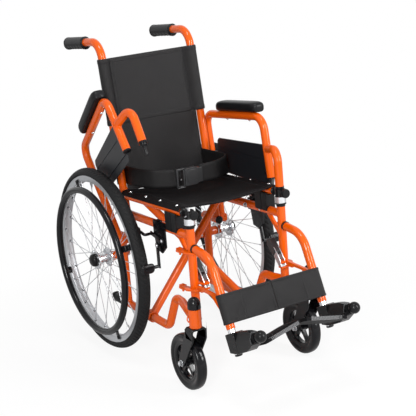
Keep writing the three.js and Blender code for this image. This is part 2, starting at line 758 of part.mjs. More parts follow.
function footBlock() {
  const bore = footTubeRadius + gap;
  const ballY = blockFront - knuckleLength - gap - ballRadius;
  // The block narrows upwards, so that the raised footplate leans over it
  const taper = (side) => levelPlate([
    [side * 16, -hingeBelow - 0.5], [side * 15.2, -hingeBelow], [side * 6.2, -hingeBelow + 27.7],
    [side * 6.2, 0], [side * 16, 0],
  ], 27, -blockFront + 3).rotateX(Math.PI / 2);
  return shape([
    sidePlate([
      [13, -10], [13, -56], [-20, -63], [-70, -62], [blockFront, -50], [blockFront, -20], [-80, -14], [-20, -9],
    ], -15, 15),
    bar([[0, blockFront + 2, -hingeBelow], [0, ballY, -hingeBelow]], 6, 0),
    new THREE.SphereGeometry(ballRadius, 14, 8).translate(0, ballY, -hingeBelow),
  ], [barZ(-80, 10, 0, 0, bore, tubeSides), taper(-1), taper(1)]);
}

// Drawn about its hinge, which runs along y through the origin
function footplate() {
  const rear = blockFront + footplateDepth - 12;
  const front = blockFront - 12;
  const reach = -footplateReach;
  const slab = levelPlate([
    [-17, rear], [-17, front + 3], [-26, front - 2], [reach + 12, front], [reach + 3, front + 5],
    [reach, front + 16], [reach, rear - 22], [reach + 6, rear - 6], [reach + 22, rear],
  ], -4.5, 4.5).rotateY(footplateRoll).translate(0, 0, -20);
  const knuckle = bar([[0, blockFront - gap, 0], [0, blockFront - knuckleLength, 0]], 13, 0, 14);
  const webY = blockFront - knuckleLength / 2;
  const web = bar([[-3, webY, -4], [-26, webY, -15]], 5, 0, 8);
  return shape([slab, knuckle, web], [
    bar([[0, blockFront + 10, 0], [0, blockFront - 30, 0]], 6 + gap, 0),
  ]);
}

// Half of the calf strap, a flat sleeve round its hanger tube that meets the other half in the middle
function calfStrapHalf() {
  const outer = tubeRadius + 3;
  const inboard = -(frameHalf - 1);
  const outline = [];
  for (let i = 0; i <= 8; i++) {
    const angle = -Math.PI / 2 + Math.PI * i / 8;
    outline.push([outer * Math.cos(angle), outer * Math.sin(angle)]);
  }
  outline.push([-14, outer - 3], [-44, -8], [inboard, -9], [inboard, -outer]);
  const sleeve = levelPlate(outline, calfStrap[0], calfStrap[1], tubeRadius + gap);
  sleeve.rotateX(-hangerSlope).translate(frameHalf, hangerEnd[0], hangerEnd[1]);
  return shape([sleeve], [sidePlate(gussetSlot, frameHalf - 5.5, frameHalf + 5.5)]);
}

const braceCrossZ = (lowerRailZ + seatRailZ((braceY.left + braceY.right) / 2)) / 2;

// Both sides of the chair
for (const [name, hand] of [['right', -1], ['left', 1]]) {
  const handed = (geometry) => (hand > 0 ? geometry : mirrored(geometry));
  const put = (group, piece, geometry, material) => add(group, `${name}_${piece}`, handed(geometry), material);
  const assembly = (x, y, z, parent = chair) => {
    const group = new THREE.Group();
    group.position.set(hand * x, y, z);
    parent.add(group);
    return group;
  };

  const frame = assembly(0, 0, 0);
  put(frame, 'side_frame', sideFrame(), orange);
  put(frame, 'saddle', saddle(), plastic);
  put(frame, 'arm_socket', armSocket(), plastic);
  put(frame, 'arm_knob', armKnob(), plastic);
  put(frame, 'brake_bracket', brakeBracket(), blackMetal);

  const handleTilt = Math.atan2(caneCorner[1] - handleEnd[1], handleEnd[0] - caneCorner[0]);
  const reach = gripLength - gripEnd - gap;
  const gripStart = [handleEnd[0] - reach * Math.cos(handleTilt), handleEnd[1] + reach * Math.sin(handleTilt)];
  const grip = assembly(frameHalf, ...gripStart);
  grip.rotation.x = -Math.PI / 2 - handleTilt;
  put(grip, 'push_grip', pushGrip(), rubber);

  const wheel = assembly(wheelPlane, 0, wheelRadius);
  put(wheel, 'rear_tyre', rearTyre(), rubber);
  put(wheel, 'rear_rim', rearRim(), alloy);
  put(wheel, 'rear_hub', hubWithSpokes(), chrome);
  put(wheel, 'rear_axle', rearAxle(), chrome);
  const pushRing = assembly(handrimOffset, 0, 0, wheel);
  put(pushRing, 'handrim', handrim(), plastic);

  const caster = assembly(casterStem.x, casterStem.y, 0);
  put(caster, 'caster_fork', casterFork(), blackMetal);
  const casterCentre = assembly(0, casterTrail, casterRadius, caster);
  put(casterCentre, 'caster_wheel', casterWheel(), rubber);
  put(casterCentre, 'caster_axle', casterAxle(), chrome);
  put(assembly(0, 0, housingTop + gap, caster), 'caster_cap', casterCap(), plastic);

  const armrest = assembly(armPivot.x, armPivot.y, armPivot.z);
  if (hand < 0) {
    const axis = new THREE.Vector3(armAxis.x, -armAxis.y, -armAxis.z);
    armrest.quaternion.setFromAxisAngle(axis, -armFlipShown);
  }
  const armPlane = assembly(0, 0, 0, armrest);
  armPlane.rotation.z = -hand * armYaw;
  put(armPlane, 'arm_frame', armFrame(), orange);
  put(armPlane, 'arm_pad', armPad(), rubber);
  put(armPlane, 'side_panel', sidePanel(), plastic);

  const lever = assembly(0, brakePivot[0], brakePivot[1]);
  lever.rotation.x = hand < 0 ? -brakeLocked : -brakeFree;
  put(lever, 'brake_lever', brakeLever(), blackMetal);
  const shoe = assembly(0, shoePivot[0], shoePivot[1]);
  shoe.rotation.x = hand < 0 ? 0 : -shoeFree;
  put(shoe, 'brake_shoe', brakeShoe(), blackMetal);

  const front = assembly(0, 0, 0);
  put(front, 'hanger', hanger(), orange);
  const latch = assembly(frameHalf - latchInboard, latchY, lowerPlateZ + plateThickness / 2 + gap);
  put(latch, 'hanger_latch', hangerLatch(), blackMetal);
  const foot = assembly(frameHalf, hangerEnd[0], hangerEnd[1]);
  foot.rotation.x = -hangerSlope;
  put(foot, 'foot_tube', footTube(), chrome);
  put(foot, 'foot_block', footBlock(), plastic);
  put(assembly(0, 0, -hingeBelow, foot), 'footplate', footplate(), plastic);
  put(front, 'calf_strap', calfStrapHalf(), cloth);
}

// Cross brace: the arm that stands on the left rail is drawn as it is, the other is mirrored
const brace = new THREE.Group();
chair.add(brace);
add(brace, 'cross_arm_left', crossArm(braceY.left), orange);
add(brace, 'cross_arm_right', mirrored(crossArm(braceY.right)), orange);
const boltFront = braceY.left - tubeRadius - gap;
const boltRear = braceY.right + tubeRadius + gap;
add(brace, 'cross_bolt', shape([
  bar([[0, boltFront - 5, braceCrossZ], [0, boltRear + 5, braceCrossZ]], 5, 0),
  bar([[0, boltFront - 5, braceCrossZ], [0, boltFront, braceCrossZ]], 9, 0, 6),
  bar([[0, boltRear, braceCrossZ], [0, boltRear + 5, braceCrossZ]], 9, 0, 6),
]), chrome);

// Seat sling over the two seat rails
function seatSling() {
  const rear = seatRailRear[0] + 2;
  const front = seatRailFront[0] + 3;
  const place = (u, v, lift) => {
    const x = seatHalf * (2 * u - 1);
    const y = rear + (front - rear) * v;
    const free = Math.max(0, 1 - (x / (frameHalf - 8)) ** 2);
    return [x, y, seatRailZ(y) + tubeRadius + gap - seatSag * free + lift];
  };
  return shape([skin((u, v) => place(u, v, slingThickness), (u, v) => place(u, v, 0), 14, 4)]);
}
add(chair, 'seat_sling', seatSling(), cloth);

// Back sling, drawn with z along the canes and z = 0 at their foot
const recline = Math.atan2(caneCorner[0] - caneFoot[0], caneCorner[1] - caneFoot[1]);
const alongCane = (z) => (z - caneFoot[1]) / Math.cos(recline);

function backSling() {
  const [bottom, sleeve, top] = [backBottom, sleeveBottom, backTop].map(alongCane);
  const outer = tubeRadius + gap + sleeveThickness;
  const edge = frameHalf - tubeRadius - 2.6;
  const half = slingThickness / 2;
  const place = (u, v, z0, z1, width, side) => {
    const x = width * (2 * u - 1);
    return [x, backSag * (1 - (x / width) ** 2) + side * half, z0 + (z1 - z0) * v];
  };
  const panel = (z0, z1, width, rows) => skin(
    (u, v) => place(u, v, z0, z1, width, 1), (u, v) => place(u, v, z0, z1, width, -1), 10, rows);
  const sleeves = [-frameHalf, frameHalf].map((x) => barZ(sleeve, top, x, 0, outer, tubeSides));
  const bores = [-frameHalf, frameHalf].map((x) => barZ(sleeve - 9, top + 9, x, 0, tubeRadius + gap, boreSides));
  return shape([panel(bottom, top, edge, 3), panel(sleeve, top, frameHalf - tubeRadius - 1, 1), ...sleeves], bores);
}
const back = new THREE.Group();
back.position.set(0, caneFoot[0], caneFoot[1]);
back.rotation.x = -recline;
chair.add(back);
add(back, 'back_sling', backSling(), cloth);

// Lap belt: webbing on edge from each cane to the buckle
function beltHalf(points) {
  const curve = new THREE.CatmullRomCurve3(points.map(([x, y]) => new THREE.Vector3(x, y, 0)));
  const place = (u, v, side) => {
    const p = curve.getPointAt(u);
    const t = curve.getTangentAt(u);
    const offset = side * beltThickness / 2;
    return [p.x - t.y * offset, p.y + t.x * offset, beltBottom + beltHeight * v];
  };
  return shape([skin((u, v) => place(u, v, 1), (u, v) => place(u, v, -1), 16, 1)]);
}
const beltEndY = caneFoot[0] + (beltBottom - caneFoot[1]) * Math.tan(recline)
  - tubeRadius / Math.cos(recline) - gap;
add(chair, 'right_lap_belt', beltHalf([
  [-frameHalf, beltEndY], [-frameHalf + 2, -100], [-frameHalf + 34, -160], [buckle.right - 3 * gap, buckle.y],
]), cloth);
add(chair, 'left_lap_belt', beltHalf([
  [frameHalf, beltEndY], [frameHalf + 9, -105], [frameHalf - 2, -158], [frameHalf - 58, -196],
  [buckle.left + 2 * gap, buckle.y],
]), cloth);
add(chair, 'belt_buckle', shape([
  box(buckle.right, buckle.left, buckle.y - buckle.depth / 2, buckle.y + buckle.depth / 2,
    beltBottom - 1, beltBottom - 1 + buckle.height),
]), plastic);

// The origin is the middle of the footprint, on the floor
const extent = new THREE.Box3().setFromObject(chair);
const middle = extent.getCenter(new THREE.Vector3());
chair.position.set(-middle.x, -middle.y, -extent.min.z);
chair.updateMatrixWorld(true);

export default chair;
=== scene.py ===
# %% [markdown]
# # A folding wheelchair with a child's seat
#
# This lesson dresses a CAD model of a manual wheelchair for its picture. The CAD model is exact but plain: its
# tubes have ten sides, and its cloth is a slab. Here each visible piece is drawn again as a smooth surface from a
# few formulas and sits where the CAD piece sat. Apart from the seat's pieces, each rides on the same moving body.
#
# Lengths in the formulas are millimetres. They are counted from the rear axle's plane (y = 0), from the floor
# (z = 0) and from the middle of the chair (x = 0). The front is towards -Y, and the occupant's left is +X.

# %% Load the frame
import json
import math
import bmesh
import bpy
import numpy as np
from mathutils import Matrix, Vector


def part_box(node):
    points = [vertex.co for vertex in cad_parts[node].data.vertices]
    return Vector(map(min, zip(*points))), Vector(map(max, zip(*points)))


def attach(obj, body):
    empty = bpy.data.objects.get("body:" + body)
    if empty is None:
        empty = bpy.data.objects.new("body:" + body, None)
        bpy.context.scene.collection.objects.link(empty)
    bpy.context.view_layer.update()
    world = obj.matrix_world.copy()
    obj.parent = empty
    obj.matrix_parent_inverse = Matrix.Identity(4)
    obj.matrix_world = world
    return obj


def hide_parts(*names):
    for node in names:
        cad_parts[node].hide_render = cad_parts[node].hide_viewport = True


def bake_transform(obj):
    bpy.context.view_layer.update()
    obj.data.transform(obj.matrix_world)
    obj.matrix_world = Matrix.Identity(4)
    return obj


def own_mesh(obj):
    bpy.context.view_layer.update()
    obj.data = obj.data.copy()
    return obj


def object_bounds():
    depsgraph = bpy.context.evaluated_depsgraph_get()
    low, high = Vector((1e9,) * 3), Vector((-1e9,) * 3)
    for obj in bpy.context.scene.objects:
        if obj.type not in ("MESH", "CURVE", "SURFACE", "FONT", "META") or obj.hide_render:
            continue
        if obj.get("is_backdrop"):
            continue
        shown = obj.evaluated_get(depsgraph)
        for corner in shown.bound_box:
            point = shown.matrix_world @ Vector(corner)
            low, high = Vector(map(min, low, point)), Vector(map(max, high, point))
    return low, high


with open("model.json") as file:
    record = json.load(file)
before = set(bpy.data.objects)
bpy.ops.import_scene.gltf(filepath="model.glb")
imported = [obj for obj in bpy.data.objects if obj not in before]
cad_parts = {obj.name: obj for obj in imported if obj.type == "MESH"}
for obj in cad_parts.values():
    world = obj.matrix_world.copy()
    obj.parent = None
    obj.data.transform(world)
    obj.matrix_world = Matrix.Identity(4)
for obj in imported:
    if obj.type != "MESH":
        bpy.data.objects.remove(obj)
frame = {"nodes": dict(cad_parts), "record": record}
nodes = frame["nodes"]
bpy.context.scene.view_settings.view_transform = "Standard"
cad_low, cad_high = [[float(c) for c in corner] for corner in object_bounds()]
tyre_low, tyre_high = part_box("left_rear_tyre")
AXLE_Y = (tyre_low.y + tyre_high.y) / 2
print(len(nodes), "CAD nodes, rear axle at y =", round(AXLE_Y, 4), "m")

# %% [markdown]
# ## The camera
#
# It was fitted to the photo's wheels and tubes. A camera looks along its own -Z. Its backward direction follows
# from the azimuth and the elevation, its rightward direction is level, and both are then turned by the roll.

# %% Place the camera


def placed(x, y, z, at):
    """The matrix of an object with these axes at this place."""
    return Matrix([[x[k], y[k], z[k], at[k]] for k in range(3)] + [[0, 0, 0, 1]])


CAMERA_AT = (-1.509, -2.861, 1.266)      # in metres from the rear axle's plane
FOCAL, PICTURE, SENSOR = 1178.3, 416, 36  # focal length and picture width in pixels, sensor width in mm
azimuth, elevation, roll = math.radians(-30.157), math.radians(15.827), math.radians(-4.493)
back = np.array([math.sin(azimuth) * math.cos(elevation), -math.cos(azimuth) * math.cos(elevation),
                 math.sin(elevation)])
level = np.array([-back[1], back[0], 0]) / math.hypot(back[0], back[1])
upward = np.cross(back, level)
right = math.cos(roll) * level + math.sin(roll) * upward
top = -math.sin(roll) * level + math.cos(roll) * upward
lens = bpy.data.cameras.new("lens")
lens.sensor_width = SENSOR
lens.lens = FOCAL / PICTURE * SENSOR
lens.dof.use_dof = False
camera = bpy.data.objects.new("camera", lens)
camera.matrix_world = placed(right, top, back, np.array(CAMERA_AT) + [0, AXLE_Y, 0])
bpy.context.scene.collection.objects.link(camera)
bpy.context.scene.camera = camera
print("camera at", [round(v, 3) for v in camera.matrix_world.translation], "lens", round(lens.lens, 2), "mm")

# %% [markdown]
# ## Sizes of the chair
#
# These are the driving sizes of the CAD model. Every piece below is drawn for the chair's left side, with +X
# outboard, and mirrored for the right.

# %% Name the sizes
MM = 0.001                        # metres in a millimetre
HALF = 138.0                      # middle plane of each side frame
TUBE = 11.1                       # frame tube radius
GAP = 0.4                         # play between pieces
WHEEL = 257.0                     # rear wheel radius
WHEEL_X = HALF + 61               # its middle plane
RIM = WHEEL - 19                  # radius where the tyre sits on the rim
RIM_BED = RIM - GAP - 18          # radius of the rim's inner side
FLANGE = 19.0                     # half the distance between the spoke flanges
SPOKES = 36
SPOKE_SWEEP = math.radians(60)    # turn round the wheel between a spoke's two ends
TREAD_WAVES = 108                 # herringbone ribs round the tyre
FRONT_Y = -404.0                  # front post
POST_FOOT, POST_TOP = 178.0, 424.0
LOWER_Z, STUB_Z, REAR_Y = 112.0, 313.0, -14.0   # lower rail, short stub, rear post
BRACE_RIGHT_Y, BRACE_LEFT_Y = -151.0, -175.0
HOUSING_LOW, HOUSING_TOP = 183.5, 233.0         # the caster's bearing housing
BRIDGE_Z = 207.0                                # the lower rail's end beside the housing
HINGE_Z, HINGE_THICK = (360.0, 262.0), 5.0      # the two plates of a front hanger
PIN_X, PIN_Y = HALF + 13, FRONT_Y + 38          # the hanger's hinge pins
BLOCK_FRONT, HINGE_DROP, TUBE_END = -101.0, -36.0, -64.0     # foot block, in the foot tube's own axes
LATCH_X, LATCH_Y, LATCH_Z = HALF - 21, -425.0, HINGE_Z[1] + HINGE_THICK / 2 + GAP
SEAT_REAR, SEAT_FRONT = (-72.0, 440.0), (-378.0, 456.0)
CANE_FOOT, CANE_CORNER, HANDLE_END = (-70.0, 316.0), (8.0, 853.0), (205.0, 834.7)
CASTER_X, CASTER_Y, CASTER, TRAIL = HALF + 39, FRONT_Y - 58, 75.0, 52.0
ARM_PIVOT = np.array([HALF + 26, -56.0, 309.5])
ARM_AXIS = np.array([1, -0.057, -0.215]) / np.linalg.norm([1, -0.057, -0.215])
ARM_YAW, ARM_FLIP, ARM_BOSS = math.atan(0.014), math.radians(31.7), 14.4
HANGER = [(-420.4, 368.0), (-492.0, 362.0), (-567.0, 199.0)]
HANGER_SLOPE = math.atan2(HANGER[1][0] - HANGER[2][0], HANGER[1][1] - HANGER[2][1])
RECLINE = math.atan2(CANE_CORNER[0] - CANE_FOOT[0], CANE_CORNER[1] - CANE_FOOT[1])


def straight(y, start, end):
    """The height at y of the straight line through two points given as (y, z)."""
    return start[1] + (end[1] - start[1]) * (y - start[0]) / (end[0] - start[0])


def seat_z(y):
    """The height of the seat rail's centre line at y."""
    return straight(y, SEAT_REAR, SEAT_FRONT)


def upper_z(y):
    """The height of the upper rail's centre line at y."""
    return straight(y, (-60.0, 388.0), (FRONT_Y, 399.0))


print("seat rail falls from", SEAT_FRONT[1], "to", SEAT_REAR[1], "mm; recline",
      round(math.degrees(RECLINE), 1), "degrees")

# %% [markdown]
# ## Shapes from whole arrays
#
# A shell is a pair: an array of points and a list of faces. A surface is a grid of points whose neighbours are
# joined by four-sided faces, and it may wrap round in either direction.

# %% Surfaces, joins and turns


def surface(points, wrap_rows=False, wrap_columns=False, caps=False):
    """A shell from a grid of points. Caps close the first and the last row with one face each."""
    rows, columns = points.shape[:2]
    i, j = np.meshgrid(np.arange(rows if wrap_rows else rows - 1),
                       np.arange(columns if wrap_columns else columns - 1), indexing="ij")
    i2, j2 = (i + 1) % rows, (j + 1) % columns
    faces = np.stack([i * columns + j, i2 * columns + j, i2 * columns + j2, i * columns + j2], -1)
    faces = faces.reshape(-1, 4).tolist()
    if caps:
        faces += [list(range(columns))[::-1], list(range((rows - 1) * columns, rows * columns))]
    return points.reshape(-1, 3).astype(float), faces


def closed(rings):
    """A closed shell from rings of points, with a cap on the first and on the last."""
    return surface(rings, wrap_columns=True, caps=True)


def joined(shells):
    """One shell from several; the face numbers of each are raised by the points before it."""
    points, faces, count = [], [], 0
    for p, f in shells:
        points.append(p)
        faces += [[n + count for n in face] for face in f]
        count += len(p)
    return np.concatenate(points), faces


def mirror(shell):
    """The shell for the other side: x changes its sign."""
    return shell[0] * [-1, 1, 1], shell[1]


def handed(shells, hand):
    """The shells as drawn for the left (hand = 1), or mirrored for the right (hand = -1)."""
    whole = joined(shells)
    return whole if hand > 0 else mirror(whole)


def moved(shell, shift=(0, 0, 0), turn=None):
    """The shell turned by a 3 x 3 matrix and then shifted."""
    points = shell[0] if turn is None else shell[0] @ np.asarray(turn).T
    return points + np.asarray(shift, float), shell[1]


def rotation(axis, angle):
    """The matrix that turns a point about an axis: cosine part, axis part and cross product part."""
    x, y, z = np.asarray(axis, float) / np.linalg.norm(axis)
    cross = np.array([[0, -z, y], [z, 0, -x], [-y, x, 0]])
    return np.eye(3) + math.sin(angle) * cross + (1 - math.cos(angle)) * cross @ cross


def unit(v):
    """The direction of a vector, or of each row of an array."""
    v = np.asarray(v, float)
    return v / np.linalg.norm(v, axis=-1, keepdims=True)


def length_of(path):
    """The length of a path."""
    return float(np.sum(np.linalg.norm(np.diff(path, axis=0), axis=1)))


def upright(x, y, low, high, steps):
    """Points straight up, from one height to another."""
    return np.stack([np.full(steps, x), np.full(steps, y), np.linspace(low, high, steps)], -1)


def cubic(a, b, c, d, f):
    """The point a share f of the way from b to c, on a curve that heads along its neighbours a and d."""
    return 0.5 * (2 * b + (c - a) * f + (2 * a - 5 * b + 4 * c - d) * f ** 2 + (3 * b - a - 3 * c + d) * f ** 3)


CANE_WAY = unit([0, CANE_CORNER[0] - CANE_FOOT[0], CANE_CORNER[1] - CANE_FOOT[1]])
SEAT_WAY = unit([0, SEAT_FRONT[0] - SEAT_REAR[0], SEAT_FRONT[1] - SEAT_REAR[1]])
print("canes lean by", CANE_WAY.round(3), "and seat rails run along", SEAT_WAY.round(3))

# %% [markdown]
# ## Bent tubes
#
# A frame tube is a path of straight runs with round bends. The bend starts before the corner by the radius times
# the tangent of half the turn. A ring of points is then carried along the path without twisting: each frame is
# the one before it, made square to the new direction.

# %% Routes and tubes


def route(corners, bends=(), steps=9):
    """Points of a path through the corners, with each inner corner rounded to its bend radius."""
    corners = [np.array(c, float) for c in corners]
    points = [corners[0]]
    for k in range(1, len(corners) - 1):
        before, after = unit(corners[k] - corners[k - 1]), unit(corners[k + 1] - corners[k])
        radius = bends[k - 1] if np.ndim(bends) else bends
        turn = math.acos(float(np.clip(before @ after, -1, 1)))
        hinge = unit(np.cross(before, after))
        start = corners[k] - before * radius * math.tan(turn / 2)
        centre = start + np.cross(hinge, before) * radius
        points += [centre + rotation(hinge, turn * n / steps) @ (start - centre) for n in range(steps + 1)]
    return np.array(points + [corners[-1]])


def sweep(path, section, first=None):
    """A closed section carried along a path. Its two columns lie along two directions square to the path, which
    turn as little as possible."""
    path, section = np.asarray(path, float), np.asarray(section, float)
    steps = unit(np.diff(path, axis=0))
    along = unit(np.vstack([steps[:1], steps[:-1] + steps[1:], steps[-1:]]))
    side = np.eye(3)[int(np.argmin(np.abs(along[0])))] if first is None else first
    sides = []
    for direction in along:
        side = unit(side - direction * (side @ direction))
        sides.append(side)
    one = np.array(sides)
    two = np.cross(along, one)
    return closed(path[:, None] + section[:, :1] * one[:, None] + section[:, 1:] * two[:, None])


def round_angles(steps):
    """Equal angles once round, without the last."""
    return np.arange(steps) * 2 * math.pi / steps


def circle(radius, sides):
    """Points of a circle."""
    angle = round_angles(sides)
    return np.stack([np.cos(angle), np.sin(angle)], -1) * radius


def arc(radius, first, last, steps, x=0.0):
    """Points of an arc between two angles in degrees."""
    angle = np.radians(np.linspace(first, last, steps))
    return np.stack([x + radius * np.cos(angle), radius * np.sin(angle)], -1)


def tube(path, radius=TUBE, sides=28):
    """A round bar along a path."""
    return sweep(path, circle(radius, sides))


def rod(start, end, radius, sides=24):
    """A straight round bar."""
    return tube(np.array([start, end], float), radius, sides)


def turned(profile, centre=(0, 0, 0), axis=(0, 0, 1), sides=36, loop=False):
    """A profile of (radius, height) turned about an axis; a loop profile meets itself."""
    z = unit(axis)
    x = unit(np.cross([1, 0, 0] if abs(z[0]) < 0.9 else [0, 1, 0], z))
    base = np.array([x, np.cross(z, x), z])
    profile = np.asarray(profile, float)
    ring = circle(1, sides)
    points = np.concatenate([profile[:, None, :1] * ring[None],
                             np.repeat(profile[:, None, 1:], sides, axis=1)], -1) @ base + np.asarray(centre)
    return surface(points, wrap_rows=loop, wrap_columns=True, caps=not loop and profile[0, 0] > 0)


def disc(radius, low, high, centre=(0, 0, 0), axis=(0, 0, 1), sides=36, inner=0):
    """A round plate between two heights along its axis, or a ring if it has an inner radius."""
    profile = [(inner, low), (radius, low), (radius, high), (inner, high)]
    return turned(profile, centre, axis, sides, loop=inner > 0)


def prism(outline, low, high, across="x"):
    """A flat plate: its outline in the other two axes, in their order, and its two faces across one axis."""
    outline = np.asarray(outline, float)
    order = {"x": [2, 0, 1], "y": [0, 2, 1], "z": [0, 1, 2]}[across]
    flat = [np.column_stack([outline, np.full(len(outline), h)])[:, order] for h in (low, high)]
    return closed(np.array(flat))


def block(x0, x1, y0, y1, z0, z1):
    """A box."""
    return prism([[x0, y0], [x1, y0], [x1, y1], [x0, y1]], z0, z1, "z")


def rounded(points, sides):
    """A closed outline whose corners are cut by a quadratic curve between the middles of its edges."""
    p = np.asarray(points, float)
    before, after = (p + np.roll(p, 1, 0)) / 2, (p + np.roll(p, -1, 0)) / 2
    t = (np.arange(sides) / sides)[None, :, None]
    return ((1 - t) ** 2 * before[:, None] + 2 * t * (1 - t) * p[:, None] + t ** 2 * after[:, None]).reshape(-1, 2)


def tape(half_width, half_height, sides=5):
    """The section of a sewn tape: a flat box with soft corners."""
    w, h = half_width, half_height
    return rounded([(-w, -h), (w, -h), (w, h), (-w, h)], sides)


def dome(centre, axis, radius, height, sides=20):
    """A screw or rivet head: a washer with a low round head on it."""
    t = np.linspace(0, math.pi / 2, 6)
    profile = [(radius * 1.35, 0), (radius * 1.35, 0.8), (radius, 0.8)]
    profile += [(radius * math.cos(a), 0.8 + height * math.sin(a)) for a in t[1:-1]] + [(0, 0.8 + height)]
    return turned([(0, 0)] + profile, centre, axis, sides)


def nut(centre, axis, radius, height):
    """A six-sided nut with a round washer under it and a bolt end above."""
    return joined([
        disc(radius * 1.25, 0, 1, centre, axis, 24), disc(radius, 1, height, centre, axis, 6),
        turned([(0, height), (radius * 0.55, height), (radius * 0.45, height + 2), (0, height + 2)],
               centre, axis, 16),
    ])


def weld(branch, towards, branch_radius, main, along_main, main_radius, bead=1.7):
    """The bead where one tube ends on another. For each angle round the branch, the distance s along it is found
    at which the branch's surface point reaches the main tube's radius: a quadratic equation in s."""
    d, m = unit(towards), unit(along_main)
    n = unit(np.cross(d, m))
    b = np.cross(d, n)
    angle = round_angles(48)
    radial = np.cos(angle)[:, None] * n + np.sin(angle)[:, None] * b
    start = np.asarray(branch, float) + branch_radius * radial - np.asarray(main, float)
    flat_d, flat_s = d - m * (d @ m), start - (start @ m)[:, None] * m
    qa, qb = flat_d @ flat_d, 2 * flat_s @ flat_d
    qc = np.sum(flat_s ** 2, 1) - main_radius ** 2
    s = (-qb - np.sqrt(np.maximum(qb ** 2 - 4 * qa * qc, 0))) / (2 * qa)
    line = start + s[:, None] * d + np.asarray(main, float)
    steps = unit(np.roll(line, -1, 0) - np.roll(line, 1, 0))
    one = unit(radial - np.sum(radial * steps, 1, keepdims=True) * steps)
    two = np.cross(steps, one)
    ring = circle(1, 8)
    size = (bead * (1 + 0.1 * np.sin(16 * angle)))[:, None, None]
    points = line[:, None] + size * (ring[None, :, :1] * one[:, None] + ring[None, :, 1:] * two[:, None])
    return surface(points, wrap_rows=True, wrap_columns=True)


def stitches(path, normal, every=4.2, length=2.8, radius=0.38):
    """A row of thread stitches along a path, each a short thin bar that stands off by a part of its radius."""
    distance = np.concatenate([[0], np.cumsum(np.linalg.norm(np.diff(path, axis=0), axis=1))])
    starts = np.arange(2, distance[-1] - length - 1, every)
    at = lambda s: np.stack([np.interp(s, distance, path[:, k]) for k in range(3)], -1)
    lift = unit(normal) * radius * 0.4
    a, b = at(starts) + lift, at(starts + length) + lift
    along = unit(b - a)
    side = unit(np.cross(along, unit(lift)))
    up = np.cross(side, along)
    ring = circle(radius, 5)
    offset = ring[None, :, :1] * side[:, None] + ring[None, :, 1:] * up[:, None]
    points = np.concatenate([a[:, None] + offset * 0.5, a[:, None] + along[:, None] * 0.4 + offset,
                             b[:, None] - along[:, None] * 0.4 + offset, b[:, None] + offset * 0.5], 1)
    return joined([closed(p.reshape(4, 5, 3)) for p in points])


print("a tube of", len(tube(route([[0, 0, 0], [0, 0, 50], [0, 50, 50]], 20))[0]), "points")

# %% [markdown]
# ## Finishes
#
# Each finish is a Principled shader whose colour, roughness and surface grain vary a little with the object's own
# coordinates, in metres. The frame is orange enamel under a clear coat; the black pieces differ in gloss.

# %% Mix the finishes


def feed(tree, node, inputs):
    """Gives each input its number or colour, or links it to the output that feeds it."""
    for key, value in inputs.items():
        if isinstance(value, bpy.types.NodeSocket):
            tree.links.new(value, node.inputs[key])
        else:
            node.inputs[key].default_value = value
    return node


def add_node(tree, kind, inputs=(), **settings):
    """A new shader node with its settings and inputs."""
    node = tree.nodes.new("ShaderNode" + kind)
    for key, value in settings.items():
        setattr(node, key, value)
    return feed(tree, node, dict(inputs))


def threads(tree, place, wave):
    """Two waves across each other, one per thread direction."""
    for turn in ((0, 0, 0), (0, math.pi / 2, 0)):
        spin = add_node(tree, "Mapping", {"Rotation": turn, "Vector": place}).outputs["Vector"]
        yield add_node(tree, "TexWave", {"Scale": wave, "Distortion": 0.4, "Vector": spin}).outputs["Fac"]


def finish(name, colour, roughness, metallic=0.0, coat=0.0, mottle=0.06, grain=0.0, grain_size=900.0,
           wave=None, specular=0.5):
    """A material. Mottle is how much the colour varies, grain the height of the fine bumps in millimetres, and
    wave the threads per metre of a woven surface."""
    material = bpy.data.materials.new(name)
    material.use_nodes = True
    tree = material.node_tree
    place = add_node(tree, "TexCoord").outputs["Object"]
    noise = add_node(tree, "TexNoise", {"Scale": 9, "Detail": 4, "Vector": place}).outputs["Fac"]
    dark, light = ([min(c * share, 1) for c in colour] + [1] for share in (1 - mottle, 1 + mottle))
    mix = add_node(tree, "Mix", {0: noise, 6: dark, 7: light}, data_type="RGBA")
    spread = add_node(tree, "MapRange", {"To Min": roughness * 0.9, "To Max": min(roughness * 1.12, 1),
                                         "Value": noise})
    shader = feed(tree, tree.nodes["Principled BSDF"], {
        "Base Color": mix.outputs[2], "Roughness": spread.outputs["Result"], "Metallic": metallic,
        "Coat Weight": coat, "Coat Roughness": 0.06, "Specular IOR Level": specular})
    if grain or wave:
        height = add_node(tree, "TexNoise", {"Scale": grain_size, "Detail": 2, "Vector": place}).outputs["Fac"]
        for band in threads(tree, place, wave) if wave else ():
            height = add_node(tree, "Math", {0: height, 1: band}, operation="ADD").outputs["Value"]
        bump = add_node(tree, "Bump", {"Strength": 1, "Distance": grain * MM, "Height": height})
        feed(tree, shader, {"Normal": bump.outputs["Normal"]})
    return material


ENAMEL = finish("orange_enamel", (0.64, 0.084, 0.001), 0.25, coat=0.38, mottle=0.03, grain=0.01, grain_size=160,
                specular=0.1)
TYRE = finish("tyre_rubber", (0.008, 0.008, 0.0085), 0.6, grain=0.06, grain_size=500, specular=0.14)
GRIP = finish("grip_rubber", (0.005, 0.005, 0.006), 0.38, grain=0.03, grain_size=700, specular=0.16)
PLASTIC = finish("black_moulding", (0.005, 0.005, 0.0056), 0.28, grain=0.03, grain_size=600, specular=0.16)
CLASP = finish("clasp_moulding", (0.018, 0.018, 0.019), 0.3, grain=0.02, grain_size=600, specular=0.4)
PANEL = finish("charcoal_panel", (0.009, 0.0098, 0.012), 0.38, grain=0.05, grain_size=500, specular=0.25)
PLATE = finish("plate_moulding", (0.005, 0.005, 0.0056), 0.55, grain=0.03, grain_size=600, specular=0.06)
BLACK = finish("black_enamel", (0.004, 0.004, 0.005), 0.18, coat=0.12, specular=0.16)
CHROME = finish("bright_plating", (0.78, 0.79, 0.81), 0.12, metallic=1, mottle=0.04)
